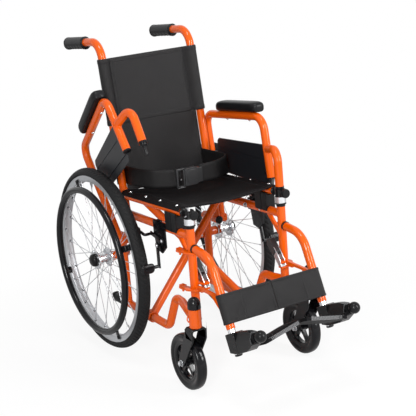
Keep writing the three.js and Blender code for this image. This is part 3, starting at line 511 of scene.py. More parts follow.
STEEL = finish("zinc_steel", (0.55, 0.56, 0.58), 0.3, metallic=1, mottle=0.08)
ALLOY = finish("rim_alloy", (0.52, 0.53, 0.55), 0.42, metallic=0.75, mottle=0.05)
HUB = finish("hub_alloy", (0.62, 0.63, 0.65), 0.25, metallic=1, mottle=0.05)
PAD = finish("pad_foam", (0.006, 0.006, 0.007), 0.34, grain=0.05, grain_size=420, specular=0.16)
NYLON = finish("nylon_cloth", (0.0058, 0.0052, 0.0056), 0.5, mottle=0.2, grain=0.12, grain_size=800, wave=420,
               specular=0.26)
# The seat's cloth is the back's nylon made darker: painted shade for the flat seat, which gets less of the frontal
# light.
SHADED_SEAT_NYLON = finish("seat_cloth", (0.0034, 0.0028, 0.003), 0.6, mottle=0.2, grain=0.12, grain_size=800, wave=420,
              specular=0.1)
WEBBING = finish("belt_webbing", (0.0055, 0.005, 0.0053), 0.5, grain=0.16, grain_size=700, wave=260, specular=0.2)
THREAD = finish("thread", (0.03, 0.03, 0.033), 0.6, grain=0.02, specular=0.2)
# A light grey for thin edge pieces that stand in for highlights: a painted highlight along edges, not wear.
EDGE_HIGHLIGHT = finish("painted_edge_highlight", (0.04, 0.04, 0.043), 0.45, grain=0.02)
GREY = finish("grey_grip", (0.07, 0.072, 0.075), 0.5, grain=0.03)
BY_SLOT = {"frame_paint": ENAMEL, "tyre": TYRE, "grip": GRIP, "black_plastic": PLASTIC, "black_metal": BLACK,
           "chrome": CHROME, "spokes": STEEL, "rim_alloy": ALLOY, "arm_pad": PAD, "nylon": NYLON}
slot_of = {part["node"]: part["material_slot"] for part in frame["record"]["subparts"]}
own = {f"{side}_{node}": look for side in ("right", "left")
       for node, look in (("side_panel", PANEL), ("arm_socket", BLACK))}
for name, node in nodes.items():
    node.data.materials.clear()
    node.data.materials.append(own.get(name, BY_SLOT.get(slot_of.get(name), PLASTIC)))
print(len(BY_SLOT), "slots,", len(slot_of), "nodes with a slot")

# %% [markdown]
# ## Making a piece
#
# A piece is put together from shells, moved to metres, cleaned (points in one place become one, and faces look
# outwards), shaded smooth with sharp corners, and put on the body it rides on; the CAD nodes it stands for are
# hidden.

# %% The piece maker
made = {}


def make_piece(name, shells, material, body, stands_for=(), slot=None, bevel=0.0, thickness=0.0, angle=35):
    """One object. Bevel rounds its sharp edges by that many millimetres, and thickness makes an open sheet solid."""
    points, faces = joined(shells)
    mesh = bpy.data.meshes.new(name)
    mesh.from_pydata((points * MM + [0, AXLE_Y, 0]).tolist(), [], faces)
    work = bmesh.new()
    work.from_mesh(mesh)
    bmesh.ops.remove_doubles(work, verts=work.verts, dist=2e-5)
    bmesh.ops.dissolve_degenerate(work, edges=work.edges, dist=2e-6)
    bmesh.ops.recalc_face_normals(work, faces=work.faces)
    work.to_mesh(mesh)
    work.free()
    mesh.polygons.foreach_set("use_smooth", np.ones(len(mesh.polygons), bool))
    mesh.set_sharp_from_angle(angle=math.radians(angle))
    mesh.materials.append(material)
    piece = bpy.data.objects.new(name, mesh)
    bpy.context.scene.collection.objects.link(piece)
    if thickness:
        solid = piece.modifiers.new("thickness", "SOLIDIFY")
        solid.thickness = thickness * MM
        solid.offset = 0
        solid.use_even_offset = True
    if bevel:
        round_edges(piece, bevel)
    if body:
        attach(piece, body)
    if stands_for:
        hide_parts(*stands_for)
    made[name] = piece
    return piece


def round_edges(piece, width):
    """Rounds a piece's sharp edges, so that they catch the light."""
    bevel = piece.modifiers.new("edges", "BEVEL")
    bevel.width = width * MM
    bevel.segments = 2
    bevel.limit_method = "ANGLE"
    bevel.angle_limit = math.radians(38)
    bevel.harden_normals = True


SIDES = (("right", -1), ("left", 1))


def as_drawn(shells, hand):
    """The left piece where it was drawn, the right one as its mirror image."""
    return [handed(shells, hand)]


def make_pair(name, shells, material, body, node=None, slot=None, place=as_drawn, **options):
    """A piece on both sides, each put in its place by a function of the shells and the hand."""
    return [make_piece(f"{side}_{name}", place(shells, hand), material, f"{side}_{body}",
                       [f"{side}_{node}"] if node else (), slot, **options) for side, hand in SIDES]


print("ready")

# %% [markdown]
# ## The welded side frames
#
# Each side is one weldment: the cane with its push handle, the front post, the upper and the lower rail, the rear
# post, a short stub between cane and rear post, the axle boss, and the caster housing. A bead marks each joint.

# %% Side frames


def side_frame():
    """The left side frame's shells."""
    x, boss = HALF, WHEEL_X - FLANGE - 5 - GAP - HALF + 15
    shells = [
        tube(route([[x, *CANE_FOOT], [x, *CANE_CORNER], [x, *HANDLE_END]], 48, 14)),
        rod([x, -60, 388], [x, FRONT_Y, 399], TUBE, 28),
        rod([x, FRONT_Y, POST_FOOT], [x, FRONT_Y, POST_TOP], TUBE, 28),
        rod([x, REAR_Y + TUBE, STUB_Z], [x, -84, STUB_Z], TUBE, 28),
        rod([x, REAR_Y, LOWER_Z], [x, REAR_Y, STUB_Z], TUBE, 28),
        tube(route([[x, 54, LOWER_Z], [x, -250, LOWER_Z], [x, -300, BRIDGE_Z], [x + 3, -336, BRIDGE_Z],
                    [CASTER_X, CASTER_Y + 12, BRIDGE_Z]], [30, 24, 30])),
        turned([(0, HOUSING_LOW), (15, HOUSING_LOW), (16, HOUSING_LOW + 1), (16, HOUSING_TOP - 1),
                (15, HOUSING_TOP), (0, HOUSING_TOP)], [CASTER_X, CASTER_Y, 0]),
        prism([[FRONT_Y - 5, 197], [FRONT_Y + 5, 197], [FRONT_Y + 5, 217], [FRONT_Y - 5, 217]], x + 4, x + 20),
        turned([(0, 0), (12.4, 0), (13, 0.8), (13, boss - 0.8), (12.4, boss), (0, boss)], [x - 15, 0, WHEEL],
               [1, 0, 0]),
        prism([[-26, WHEEL - 24], [6, WHEEL - 24], [6, WHEEL + 50], [-26, WHEEL + 50]], x - 3, x + 3),
        rod(ARM_PIVOT - ARM_AXIS * (ARM_BOSS + GAP), ARM_PIVOT - ARM_AXIS * (ARM_BOSS + 14), 12),
        prism([[-335, 392], [-349, 392], [-400, 343], [-400, 330]], x - 4, x + 4),
    ]
    for z in HINGE_Z:
        high = z - HINGE_THICK / 2 - GAP
        shells.append(prism([[x - 6, FRONT_Y + 4], [x + 8, FRONT_Y + 7], [x + 21, FRONT_Y + 34],
                             [x + 21, FRONT_Y + 46], [x + 5, FRONT_Y + 46]], high - HINGE_THICK, high, "z"))
    lug = LATCH_Z + 8 + GAP
    shells.append(prism([[x - 2, FRONT_Y - 9], [x - 2, FRONT_Y + 9], [x - 28, -416], [x - 28, -432], [x - 14, -432]],
                        lug, lug + 5, "z"))
    shells.append(rod([LATCH_X, LATCH_Y, LATCH_Z], [LATCH_X, LATCH_Y, LATCH_Z + 10], 3))
    post, rail = [0, 0, 1], [0, 1, 0]
    shells += [
        weld([x, -300, upper_z(-300)], [0, -1, 0.032], TUBE, [x, FRONT_Y, 0], post, TUBE),
        weld([x, -200, upper_z(-200)], [0, 1, -0.032], TUBE, [x, *CANE_FOOT], CANE_WAY, TUBE),
        weld([x, REAR_Y, 200], [0, 0, -1], TUBE, [x, 0, LOWER_Z], rail, TUBE),
        weld([x, -50, STUB_Z], [0, 1, 0], TUBE, [x, REAR_Y, 0], post, TUBE),
        weld([x + 20, -372, BRIDGE_Z], [36, -114, 0], TUBE, [CASTER_X, CASTER_Y, BRIDGE_Z], post, 16),
        weld([CASTER_X - 30, 0, WHEEL], [-1, 0, 0], 13, [x, 0, WHEEL], rail, 3.2, 1.3),
    ]
    return shells


make_pair("frame_tubes", side_frame(), ENAMEL, "frame", "side_frame", "frame_paint", bevel=0.8)
print(len(made), "side frames")

# %% [markdown]
# ## Cross braces
#
# Each brace stands with a sleeve on one lower rail, crosses the other brace at the bolt, and carries the opposite
# seat rail. Black caps close the open tube ends.

# %% Cross braces and end caps


def cross_arm(y):
    """The brace that stands on the left lower rail."""
    x, outer, top_z, low_z = HALF, TUBE + GAP + 4, seat_z(y), LOWER_Z + 9
    sleeve = turned([(TUBE + 1, -11), (outer - 0.6, -11), (outer, -10.4), (outer, 10.4), (outer - 0.6, 11),
                     (TUBE + 1, 11)], [x, y, LOWER_Z], [0, 1, 0], 32, loop=True)
    along, middle = unit([-2 * x + 8, 0, top_z - low_z]), [0, y, (low_z + top_z) / 2]
    return [
        rod([x - 8, y, low_z], [-x, y, top_z], TUBE, 28), sleeve,
        rod([-x, *SEAT_REAR], [-x, *SEAT_FRONT], TUBE, 28),
        weld(middle, -along, TUBE, [x, y, LOWER_Z], [0, 1, 0], outer),
        weld(middle, along, TUBE, [-x, y, top_z], -SEAT_WAY, TUBE),
    ]


make_piece("brace_left", cross_arm(BRACE_LEFT_Y), ENAMEL, "cross_b", ["cross_arm_left"], "frame_paint", 0.8)
make_piece("brace_right", [mirror(joined(cross_arm(BRACE_RIGHT_Y)))], ENAMEL, "cross_a", ["cross_arm_right"],
           "frame_paint", 0.8)


def end_cap(at, axis, radius=TUBE):
    """A black plug in a tube's end: a rim as wide as the tube and a low dome."""
    return turned([(0, -1), (radius + 0.5, -1), (radius + 0.5, 1.4), (radius - 1, 3.2), (radius * 0.6, 4.3),
                   (0, 4.6)], at, axis, 28)


for name, x, body in (("right", -HALF, "cross_b"), ("left", HALF, "cross_a")):
    make_piece(f"seat_rail_caps_{name}", [end_cap([x, *SEAT_FRONT], SEAT_WAY), end_cap([x, *SEAT_REAR], -SEAT_WAY)],
               PLASTIC, body)
rear_sleeve = [(TUBE + 0.1, 14), (TUBE + 2.2, 14), (TUBE + 2.2, 56), (TUBE + 4, 57), (TUBE + 4, 62), (TUBE, 64),
               (TUBE, 72), (TUBE - 3, 76), (0, 76)]
make_pair("tube_caps", [turned(rear_sleeve, [HALF, 0, LOWER_Z], [0, 1, 0]),
                        end_cap([HALF, FRONT_Y, POST_FOOT], [0, 0, -1]), end_cap([HALF, -84, STUB_Z], [0, -1, 0]),
                        disc(TUBE + 0.9, POST_TOP - 4, POST_TOP + 1, [HALF, FRONT_Y, 0])], PLASTIC, "frame")
print(len(made), "pieces")

# %% [markdown]
# ## Push grips
#
# The rubber grip is a round bar whose underside is hollowed for the fingers. The radius at an angle is the plain
# radius less a wave along the grip, times the cube of the cosine of the angle from straight down.

# %% Push grips
grip_tilt = math.atan2(CANE_CORNER[1] - HANDLE_END[1], HANDLE_END[0] - CANE_CORNER[0])
grip_reach = 116 - 4 - GAP
grip_start = np.array([HALF, HANDLE_END[0] - grip_reach * math.cos(grip_tilt),
                       HANDLE_END[1] + grip_reach * math.sin(grip_tilt)])


def push_grip():
    """The left push grip."""
    s = np.concatenate([[0, 0, 1, 3], np.linspace(6, 108, 69), [111, 114, 116.5, 118, 119, 119]])
    r = np.concatenate([[11.6, 13.4, 15, 16.4], np.full(69, 15.8), [16.2, 16.2, 15, 12.6, 8, 0]])
    angle = round_angles(48)
    under = np.maximum(np.cos(angle), 0) ** 1.5
    first, last, finger, depth = 14, 104, 18, 4.6
    wave = np.abs(np.sin(np.clip(s - first, 0, last - first) / finger * math.pi)) ** 0.7
    hollow = np.where((s > first) & (s < last), wave, 0) * depth
    radius = r[:, None] + 3.0 * (r[:, None] > 15.5) * under[None] - hollow[:, None] * under[None] ** 2
    along = np.array([0, math.cos(grip_tilt), -math.sin(grip_tilt)])
    down = np.array([0, -math.sin(grip_tilt), -math.cos(grip_tilt)])
    points = grip_start + s[:, None, None] * along + radius[..., None] * (
        np.cos(angle)[:, None] * down + np.sin(angle)[:, None] * np.array([1, 0, 0]))
    return closed(points)


make_pair("grip", [push_grip()], GRIP, "frame", "push_grip", "grip", angle=50)
print("two grips, tilted by", round(math.degrees(grip_tilt), 1), "degrees")

# %% [markdown]
# ## Rear wheels
#
# The tyre's section is a smooth closed curve turned about the axle. Its tread is a herringbone: the radius drops
# where a slanted wave round the wheel is low. Spokes run tangentially in crossed pairs from flange to rim.

# %% Tyres, rims, hubs, spokes and hand rims


def closed_curve(points, samples):
    """A smooth closed curve through points: each stretch is a cubic that heads along its neighbours."""
    p = np.asarray(points, float)
    t = np.arange(samples) / samples * len(p)
    k, f = t.astype(int) % len(p), (t % 1)[:, None]
    return cubic(p[k - 1], p[k], p[(k + 1) % len(p)], p[(k + 2) % len(p)], f)


def flanks(half):
    """A profile of (radius, x) with its mirror image in x, which makes it closed."""
    return half + [(r, -x) for r, x in half[::-1]]


def about_x(x, r):
    """A closed surface round the x axis, with one row of points at x and r for each of equal angles."""
    angle = round_angles(len(r))[:, None]
    return surface(np.stack([np.broadcast_to(x, r.shape), r * np.cos(angle), r * np.sin(angle)], -1),
                   wrap_rows=True, wrap_columns=True)


def ring_about_x(profile, steps, x=0.0):
    """A closed profile of (radius, x) turned about the axle."""
    p = np.asarray(profile, float)
    return about_x(p[:, 1] + x, np.repeat(p[None, :, 0], steps, axis=0))


def rear_tyre():
    """The tyre about the wheel's centre."""
    profile = closed_curve(flanks([(RIM - 0.5, -12), (RIM + 1.5, -16.2), (RIM + 4.5, -17.2), (RIM + 11, -15.2),
                                   (WHEEL - 2.6, -8.8), (WHEEL - 0.3, -3)]), 56)
    angle = round_angles(10 * TREAD_WAVES)[:, None]
    r, x = profile[None, :, 0], profile[None, :, 1]
    wave = np.sin(angle * TREAD_WAVES + np.abs(x) * 0.42)
    tread = np.clip((r - (WHEEL - 8)) / 4, 0, 1) * np.clip(-wave * 3 - 1.2, 0, 1) * 1.3
    rib = np.exp(-((np.abs(x) - 5.2) / 0.7) ** 2) * (r > WHEEL - 6)
    line = np.exp(-((r - (RIM + 8)) / 0.9) ** 2) / 35
    return about_x(x * (1 - line), r - tread - rib)


def rear_rim():
    """A hollow-looking rim: two bead walls, a well between them, and a valve."""
    profile = flanks([(RIM_BED + 0.8, -4), (RIM_BED, -5), (RIM_BED, -10.5), (RIM_BED + 0.8, -11.8),
                      (RIM_BED + 2.4, -12.5), (RIM - 3, -12.5), (RIM - 1, -13.2), (RIM + 0.5, -12.5)])
    valve = rod([0, 0, RIM_BED + 1], [0, 0, RIM_BED - 20], 2.4, 12)
    return [ring_about_x(profile, 180), moved(valve, turn=rotation([1, 0, 0], 0.5))]


def spoke_places():
    """For each spoke: its flange, the side of that flange, and its angles at hub and rim."""
    for flange in (-1, 1):
        for i in range(SPOKES // 2):
            way = 1 if i % 2 else -1
            start = 4 * math.pi / SPOKES * (i + (0.5 if flange > 0 else 0))
            yield flange, way, start, start + SPOKE_SWEEP * way


def nipple_seats():
    """Black eyelets where the spokes enter the rim's bed; their black is painted shade for the spoke holes."""
    shells = []
    for flange, way, _, angle in spoke_places():
        up = np.array([0, math.cos(angle), math.sin(angle)])
        at = np.array([flange * 6 + 1.54 * way, 0, 0]) + up * (RIM_BED + 0.3)
        shells.append(turned([(0, 0.9), (2.4, 0.9), (3.4, 0.3), (3.4, 0), (0, 0)], at, -up, 12))
    return shells


def hub():
    """The hub's body with two spoke flanges, about the wheel's centre."""
    f = FLANGE
    return turned([(0, -f - 5), (13, -f - 5), (14.5, -f - 3), (26, -f - 2.4), (27, -f - 1.6), (27, -f + 1.6),
                   (26, -f + 2.4), (13, -f + 5), (11.5, 0), (13, f - 5), (26, f - 2.4), (27, f - 1.6),
                   (27, f + 1.6), (26, f + 2.4), (16, f + 3), (14, f + 6), (0, f + 6)], axis=[1, 0, 0], sides=48)


def spokes():
    """Crossed spokes with a head at the flange and a nipple at the rim, each a thin bar."""
    shells, reach = [], RIM_BED + 2
    for flange, way, start, end in spoke_places():
        a = np.array([flange * FLANGE + 2.2 * way, 23 * math.cos(start), 23 * math.sin(start)])
        b = np.array([flange * 6 + 1.54 * way, reach * math.cos(end), reach * math.sin(end)])
        d = unit(b - a)
        shells += [rod(a, b - d * 10, 0.95, 8), rod(b - d * 15, b, 2.0, 8),
                   dome(a + [0.9 * way, 0, 0], [way, 0, 0], 1.9, 0.8, 8)]
    return shells


def handrim():
    """The push ring with four bent tabs that reach it from the rim."""
    radius, out = WHEEL - 55.5, 36
    shells = [ring_about_x(circle(9.5, 20) + [radius, 0], 144, out)]
    tab = sweep(route([[14.8, 0, radius + 28], [14.8, 0, radius + 1], [out - 4, 0, radius]], 5, 5),
                tape(9, 1.6, 3), [0, 1, 0])
    screw = dome([16.4, 0, radius + 22], [1, 0, 0], 3.4, 1.8, 12)
    for quarter in range(4):
        turn = rotation([1, 0, 0], math.radians(-22 + 90 * quarter))
        shells += [moved(tab, turn=turn), moved(screw, turn=turn)]
    return shells


def shifted(x, y, z):
    """A function that moves shells to a place, which is given for the left side."""
    return lambda shells, hand: [moved(handed(shells, hand), [hand * x, y, z])]


dust_cap = turned([(0, 37), (6, 37), (12, 35.6), (16.5, 32), (18, 27), (18, 23.5), (0, 23.5)], axis=[1, 0, 0])
for name, shells, material, node, slot, angle in (
        ("tyre", [rear_tyre()], TYRE, "rear_tyre", "tyre", 60),
        ("rim", rear_rim(), ALLOY, "rear_rim", "rim_alloy", 50),
        # black eyelets: painted shade for the spoke holes
        ("nipple_seats", nipple_seats(), BLACK, None, None, 35),
        ("hub", [hub()], HUB, "rear_hub", "spokes", 35),
        ("spokes", spokes(), STEEL, None, "spokes", 35),
        ("push_ring", handrim(), BLACK, "handrim", "black_metal", 35),
        ("dust_cap", [dust_cap], PLASTIC, None, None, 35)):
    make_pair(name, shells, material, "rear_wheel", node, slot, shifted(WHEEL_X, 0, WHEEL), angle=angle)
print("two wheels of", SPOKES, "spokes")

# %% [markdown]
# ## Casters
#
# A caster's fork is a bent plate in glossy black; its solid tyre is moulded on a wheel with five spokes.

# %% Casters


def caster_fork():
    """The fork about its swivel axis: a crown and two legs."""
    top = HOUSING_LOW - GAP
    outline = [[-15, top - 6], [19, top - 6], [24, top - 20], [TRAIL + 13, CASTER + 8], [TRAIL + 11, CASTER - 4],
               [TRAIL + 4, CASTER - 11], [TRAIL - 5, CASTER - 11], [TRAIL - 12, CASTER - 3], [-13, 150]]
    arch = [[-21.5, top - 30], [-21.5, top - 6], [-17, top], [17, top], [21.5, top - 6], [21.5, top - 30],
            [17.5, top - 30], [17.5, top - 9], [15, top - 5], [-15, top - 5], [-17.5, top - 9], [-17.5, top - 30]]
    return [prism(outline, 17.5, 21.5), prism(outline, -21.5, -17.5), prism(arch, -15, 19, "y"),
            rod([0, 0, top - 4], [0, 0, top + 30], 6)]


def caster_wheel():
    """The wheel about its own centre."""
    band = closed_curve(flanks([(47, -9), (55, -11), (62, -13.4), (68, -13.6), (73, -10), (74.8, -4)]), 44)
    lip = closed_curve(flanks([(45, -8), (51, -10.5), (56, -9)]), 24)
    shells = [ring_about_x(band, 96), ring_about_x(lip, 72),
              turned([(0, -15), (11, -15), (13, -13), (13, 13), (11, 15), (0, 15)], axis=[1, 0, 0])]
    for i in range(5):
        spoke = np.array([[[s * w, t * d, r] for s, t in ((-1, -1), (1, -1), (1, 1), (-1, 1))]
                          for r, w, d in ((9, 6.5, 6), (24, 5, 4.4), (40, 5.5, 5), (50, 7, 8))], float)
        shells.append(moved(closed(spoke), turn=rotation([1, 0, 0], 2 * math.pi * i / 5)))
    return shells


on_swivel = shifted(CASTER_X, CASTER_Y, 0)
on_roller = shifted(CASTER_X, CASTER_Y + TRAIL, CASTER)
axle = [nut([21.6, 0, 0], [1, 0, 0], 7, 7), nut([-21.6, 0, 0], [-1, 0, 0], 7, 7), rod([-22, 0, 0], [22, 0, 0], 4)]
cap = [(0, 0), (17, 0)] + [(17 * math.cos(a), 10 + 20 * math.sin(a)) for a in np.linspace(0, math.pi / 2, 12)]
make_pair("fork", caster_fork(), BLACK, "caster", "caster_fork", "black_metal", on_swivel, bevel=1.2)
make_pair("roller", caster_wheel(), BLACK, "caster_roller", "caster_wheel", "tyre", on_roller, bevel=0.9, angle=50)
make_pair("roller_axle", axle, STEEL, "caster", "caster_axle", "chrome", on_roller, bevel=0.5)
make_pair("dome_cap", [turned(cap, [0, 0, HOUSING_TOP + GAP])], BLACK, "frame", "caster_cap", "black_plastic",
          on_swivel)
print("two casters")

# %% [markdown]
# ## Arm supports
#
# Each support is drawn in its own upright plane and then placed on its pivot. The right one is shown half raised,
# so its whole assembly is turned about the slanted pivot axis.

# %% Arm supports


def arm_place(shells, hand):
    """Moves shells from the arm's plane to its place on the chair."""
    turn = rotation([0, 0, 1], -hand * ARM_YAW)
    if hand < 0:
        turn = rotation([ARM_AXIS[0], -ARM_AXIS[1], -ARM_AXIS[2]], -ARM_FLIP) @ turn
    return [moved(handed(shells, hand), [hand * ARM_PIVOT[0], ARM_PIVOT[1], ARM_PIVOT[2]], turn)]


ARM_REAR, ARM_FRONT, ARM_FOOT = (45.5, 299.5), (-252.5, 330.5), (-278.0, 169.5)
LEG_X = -(ARM_PIVOT[0] - HALF - (ARM_PIVOT[1] - FRONT_Y) * math.tan(ARM_YAW))
LEG_Y, LEG_Z = -348.0, 157.5
POST_WAY = unit([0, ARM_FOOT[0] - ARM_FRONT[0], ARM_FOOT[1] - ARM_FRONT[1]])
ARM_TURN = rotation([0, 0, 1], ARM_YAW) @ ARM_AXIS     # the pivot axis as seen from the arm's plane


def arm_frame():
    """The bent main tube, the front loop with its leg, and the pivot tube."""
    return [
        tube(route([[0, 0, 0], [0, *ARM_REAR], [0, *ARM_FRONT], [0, *ARM_FOOT]], [34, 38], 12)),
        tube(route([[0, -266, 246], [LEG_X, -346, 260], [LEG_X, LEG_Y, LEG_Z]], 30)),
        rod(-ARM_TURN * ARM_BOSS, ARM_TURN * 12, 12),
        weld([LEG_X * 0.4, -300, 252], [-LEG_X, 80, -14], TUBE, [0, *ARM_FOOT], POST_WAY, TUBE),
        weld([0, 20, 150], [0, -ARM_REAR[0], -ARM_REAR[1]], TUBE, [0, 0, 0], ARM_TURN, 12),
    ]


def arm_pad():
    """A moulded pad. Its half width and height shrink towards both ends along a steep curve, and its section is
    a rounded box: the sine and cosine of an angle, each raised to a power below one."""
    y0, y1 = -27.0, -235.0
    low = [straight(y, ARM_REAR, ARM_FRONT) + TUBE + GAP for y in (y0, y1)]
    v = np.concatenate([[0, 0.001, 0.006, 0.02, 0.045], np.linspace(0.08, 0.92, 24),
                        [0.955, 0.98, 0.994, 0.999, 1]])
    end = np.clip(1 - np.abs(2 * v - 1) ** 10, 0, 1) ** 0.36
    angle = round_angles(48)
    power = lambda s, p: np.sign(s) * np.abs(s) ** p
    wide, tall = power(np.cos(angle), 0.55), power(np.sin(angle), 0.6)
    half_w = 20 * (0.30 + 0.70 * end) * (end > 0)
    height = 28 * (0.45 + 0.55 * end) * (end > 0)
    base = low[0] + (low[1] - low[0]) * v
    crown = 1 - 0.13 * np.abs(wide) ** 3 * (tall > 0)
    x = 5 + half_w[:, None] * wide[None]
    z = base[:, None] + height[:, None] * (0.5 + 0.5 * tall[None] * crown[None])
    z = np.where((end > 0)[:, None], z, base[:, None] + 12)
    return closed(np.stack([x, np.broadcast_to((y0 + (y1 - y0) * v)[:, None], x.shape), z], -1))


make_pair("arm_tubes", arm_frame(), ENAMEL, "armrest", "arm_frame", "frame_paint", arm_place, bevel=0.6)
for pad in make_pair("pad", [arm_pad()], PAD, "armrest", "arm_pad", "arm_pad", arm_place, angle=60):
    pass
pin = [(0, LEG_Z - 33), (3.5, LEG_Z - 31.5), (5, LEG_Z - 26.5), (5, LEG_Z - 7.5), (6.5, LEG_Z - 6.5),
       (8.6, LEG_Z - 3.5), (8.8, LEG_Z - 0.1), (TUBE + 0.4, LEG_Z + 0.1), (TUBE + 0.4, LEG_Z + 6.5), (0, LEG_Z + 6.5)]
make_pair("arm_plug", [end_cap([0, *ARM_FOOT], POST_WAY), turned(pin, [LEG_X, LEG_Y, 0])], PLASTIC, "armrest",
          place=arm_place)
screws = [dome([0, y, straight(y, ARM_REAR, ARM_FRONT) - TUBE], [0, 0, -1], 3.4, 2.4) for y in (-75, -190)]
make_pair("arm_screws", screws + [dome(ARM_TURN * 12, ARM_TURN, 6, 3)], CHROME, "armrest", place=arm_place)
screws = [dome([way * 2, y, z], [way, 0, 0], 3.2, 1.5) for way in (-1, 1)
          for y, z in ((16, 180), (-255, 180), (-258, 240))]
make_pair("panel_screws", screws, PLASTIC, "armrest", place=arm_place)
skirt = [[27, 143], [-264, 143], [-270, 149], [-270, 167], [31, 167], [30, 147]]
make_pair("panel_skirt", [prism(skirt, -1.9, 0.2)], PANEL, "armrest", place=arm_place, bevel=0.8)
knob_y, knob_z = FRONT_Y - 19 - GAP, POST_TOP + 33.5
knob = [(0, -1), (3, -1), (3, 0), (10.5, 0), (12, 1.5), (12, 8), (10.5, 10.4), (6, 11), (0, 11)]
make_pair("pull_knob_round", [turned(knob, [HALF, knob_y, knob_z], [0, -1, 0]),
                              rod([HALF, knob_y, knob_z], [HALF, FRONT_Y - 8, knob_z], 3)],
          PLASTIC, "pull_knob", "arm_knob", "black_plastic", bevel=0.5)
print("arm supports; right one raised by", round(math.degrees(ARM_FLIP), 1), "degrees")

# %% [markdown]
# ## Wheel locks
#
# A lever with a long rod presses a paddle against the tyre. The right lock is on and the left one is off.

# %% Wheel locks
SHOE_PIVOT = (-WHEEL - 5, 346.0)
LOCK_PIVOT = (SHOE_PIVOT[0] - 20, 362.0)
LOCK_X, LINK = HALF + TUBE + GAP + 4 + GAP, 3.6     # inner face of the lever's link, and its thickness


def lock_lever():
    """The lever about its pivot: a flat link, a bent rod and a grip."""
    x, rod_x = LOCK_X, HALF + 39
    arm = route([[x + 1, 0, 54], [rod_x, 0, 54], [rod_x, 0, 144]], 5, 5)
    grip = [(0, 88), (6.4, 88), (7.2, 90), (7.2, 139), (6.4, 144), (4, 147), (0, 148)]
    return ([disc(10, 0, LINK, [x, 0, 0], [1, 0, 0]), prism([[-6, 0], [6, 0], [5, 60], [-5, 60]], x, x + LINK),
             tube(arm, 4, 20)],
            [turned(grip, [rod_x, 0, 0])])


def lock_shoe():
    """The shoe about its pivot: a flat link and a ribbed round paddle."""
    x, drop = LOCK_X + LINK + GAP, WHEEL + 33 - SHOE_PIVOT[1]
    start, end = WHEEL_X - 24, WHEEL_X + 15.5
    v = np.concatenate([[0, 0.004, 0.02, 0.05, 0.1], np.linspace(0.16, 0.84, 30), [0.9, 0.95, 0.98, 0.996, 1]])
    size = np.clip(1 - np.abs(2 * v - 1) ** 5, 0, 1) ** 0.45
    angle = round_angles(40)
    rib = 1 - 0.05 * (np.sin(v * 60) > 0.3) * (size > 0.95)
    paddle = np.stack([np.broadcast_to((start + (end - start) * v)[:, None], (len(v), 40)),
                       -2.5 + (6.0 * size * rib)[:, None] * np.cos(angle)[None],
                       drop + (13.5 * size)[:, None] * np.sin(angle)[None]], -1)
    return [disc(9, 0, LINK, [x, 0, 0], [1, 0, 0]),
            prism([[-6, drop - 5], [6, drop - 5], [6, 0], [-6, 0]], x, x + LINK),
            rod([x, 0, drop], [end - 10, 0, drop], 4.5), closed(paddle)]


def on_lock(pivot, right_turn, left_turn):
    """A function that turns shells about a pivot, by one angle on each side."""
    def place(shells, hand):
        turn = rotation([1, 0, 0], math.radians(left_turn if hand > 0 else right_turn))
        return [moved(handed(shells, hand), [0, *pivot], turn)]
    return place


def saddle_half(y0, y1, high):
    """One block of the saddle: hollow above for the seat rail, and below for the upper rail it stands on."""
    wide, bed, foot = 14.5, np.linspace(-math.pi + 0.3, -0.3, 11), np.linspace(0.15, math.pi - 0.15, 11)
    top, bottom = seat_z(y0), upper_z(y0)
    outline = [[HALF - wide, top + high]]
    outline += [[HALF + 12.4 * math.cos(a), top + 12.4 * math.sin(a) - 1] for a in bed]
    outline += [[HALF + wide, top + high], [HALF + wide, bottom + 1]]
    outline += [[HALF + 12 * math.cos(a), bottom + 12 * math.sin(a)] for a in foot] + [[HALF - wide, bottom + 1]]
    return prism(outline, y0, y1, "y")


bar, grip = lock_lever()
make_pair("lock_bar", bar, BLACK, "lock_lever", "brake_lever", "black_metal", on_lock(LOCK_PIVOT, -80, 15.5),
          bevel=0.5)
make_pair("lock_grip", grip, GREY, "lock_lever", place=on_lock(LOCK_PIVOT, -80, 15.5))
make_pair("lock_paddle", lock_shoe(), BLACK, "lock_shoe", "brake_shoe", "black_metal", on_lock(SHOE_PIVOT, 0, -15),
          bevel=0.4)
make_pair("lock_pins", [dome([LOCK_X + LINK, *LOCK_PIVOT], [1, 0, 0], 4, 2),
                        dome([LOCK_X + 2 * LINK + 0.6, *SHOE_PIVOT], [1, 0, 0], 4, 2)], STEEL, "frame")
make_pair("rail_bolts", [nut([HALF - TUBE - 1, -251, upper_z(-251)], [-1, 0, 0], 6, 5),
                         dome([HALF - TUBE - 0.5, -318, upper_z(-318)], [-1, 0, 0], 3.4, 2)], STEEL, "frame",
          bevel=0.4)
make_pair("rail_saddle", [saddle_half(-302, -331, -4), saddle_half(-333, -356, -7)], PLASTIC, "frame", "saddle",
          "black_plastic", bevel=1.0)
clip = disc(TUBE + 3.4, 430, 446, [HALF, FRONT_Y, 0], sides=40, inner=TUBE + 2)
foot_ring = [(TUBE, 425), (TUBE + 3.6, 425.5), (TUBE + 3.6, 428), (TUBE, 428)]
make_pair("socket_rings", [clip], HUB, "frame")
make_pair("socket_foot", [turned(foot_ring, [HALF, FRONT_Y, 0], loop=True)], PLASTIC, "frame")
print("wheel locks and saddles")

# %% [markdown]
# ## Front hangers and footplates
#
# The hanger is a bent tube on two pin plates. Inside it slides a plated tube that ends in a block, on which the
# footplate folds about an axis along the block.

# %% Hangers, latches, foot tubes and footplates


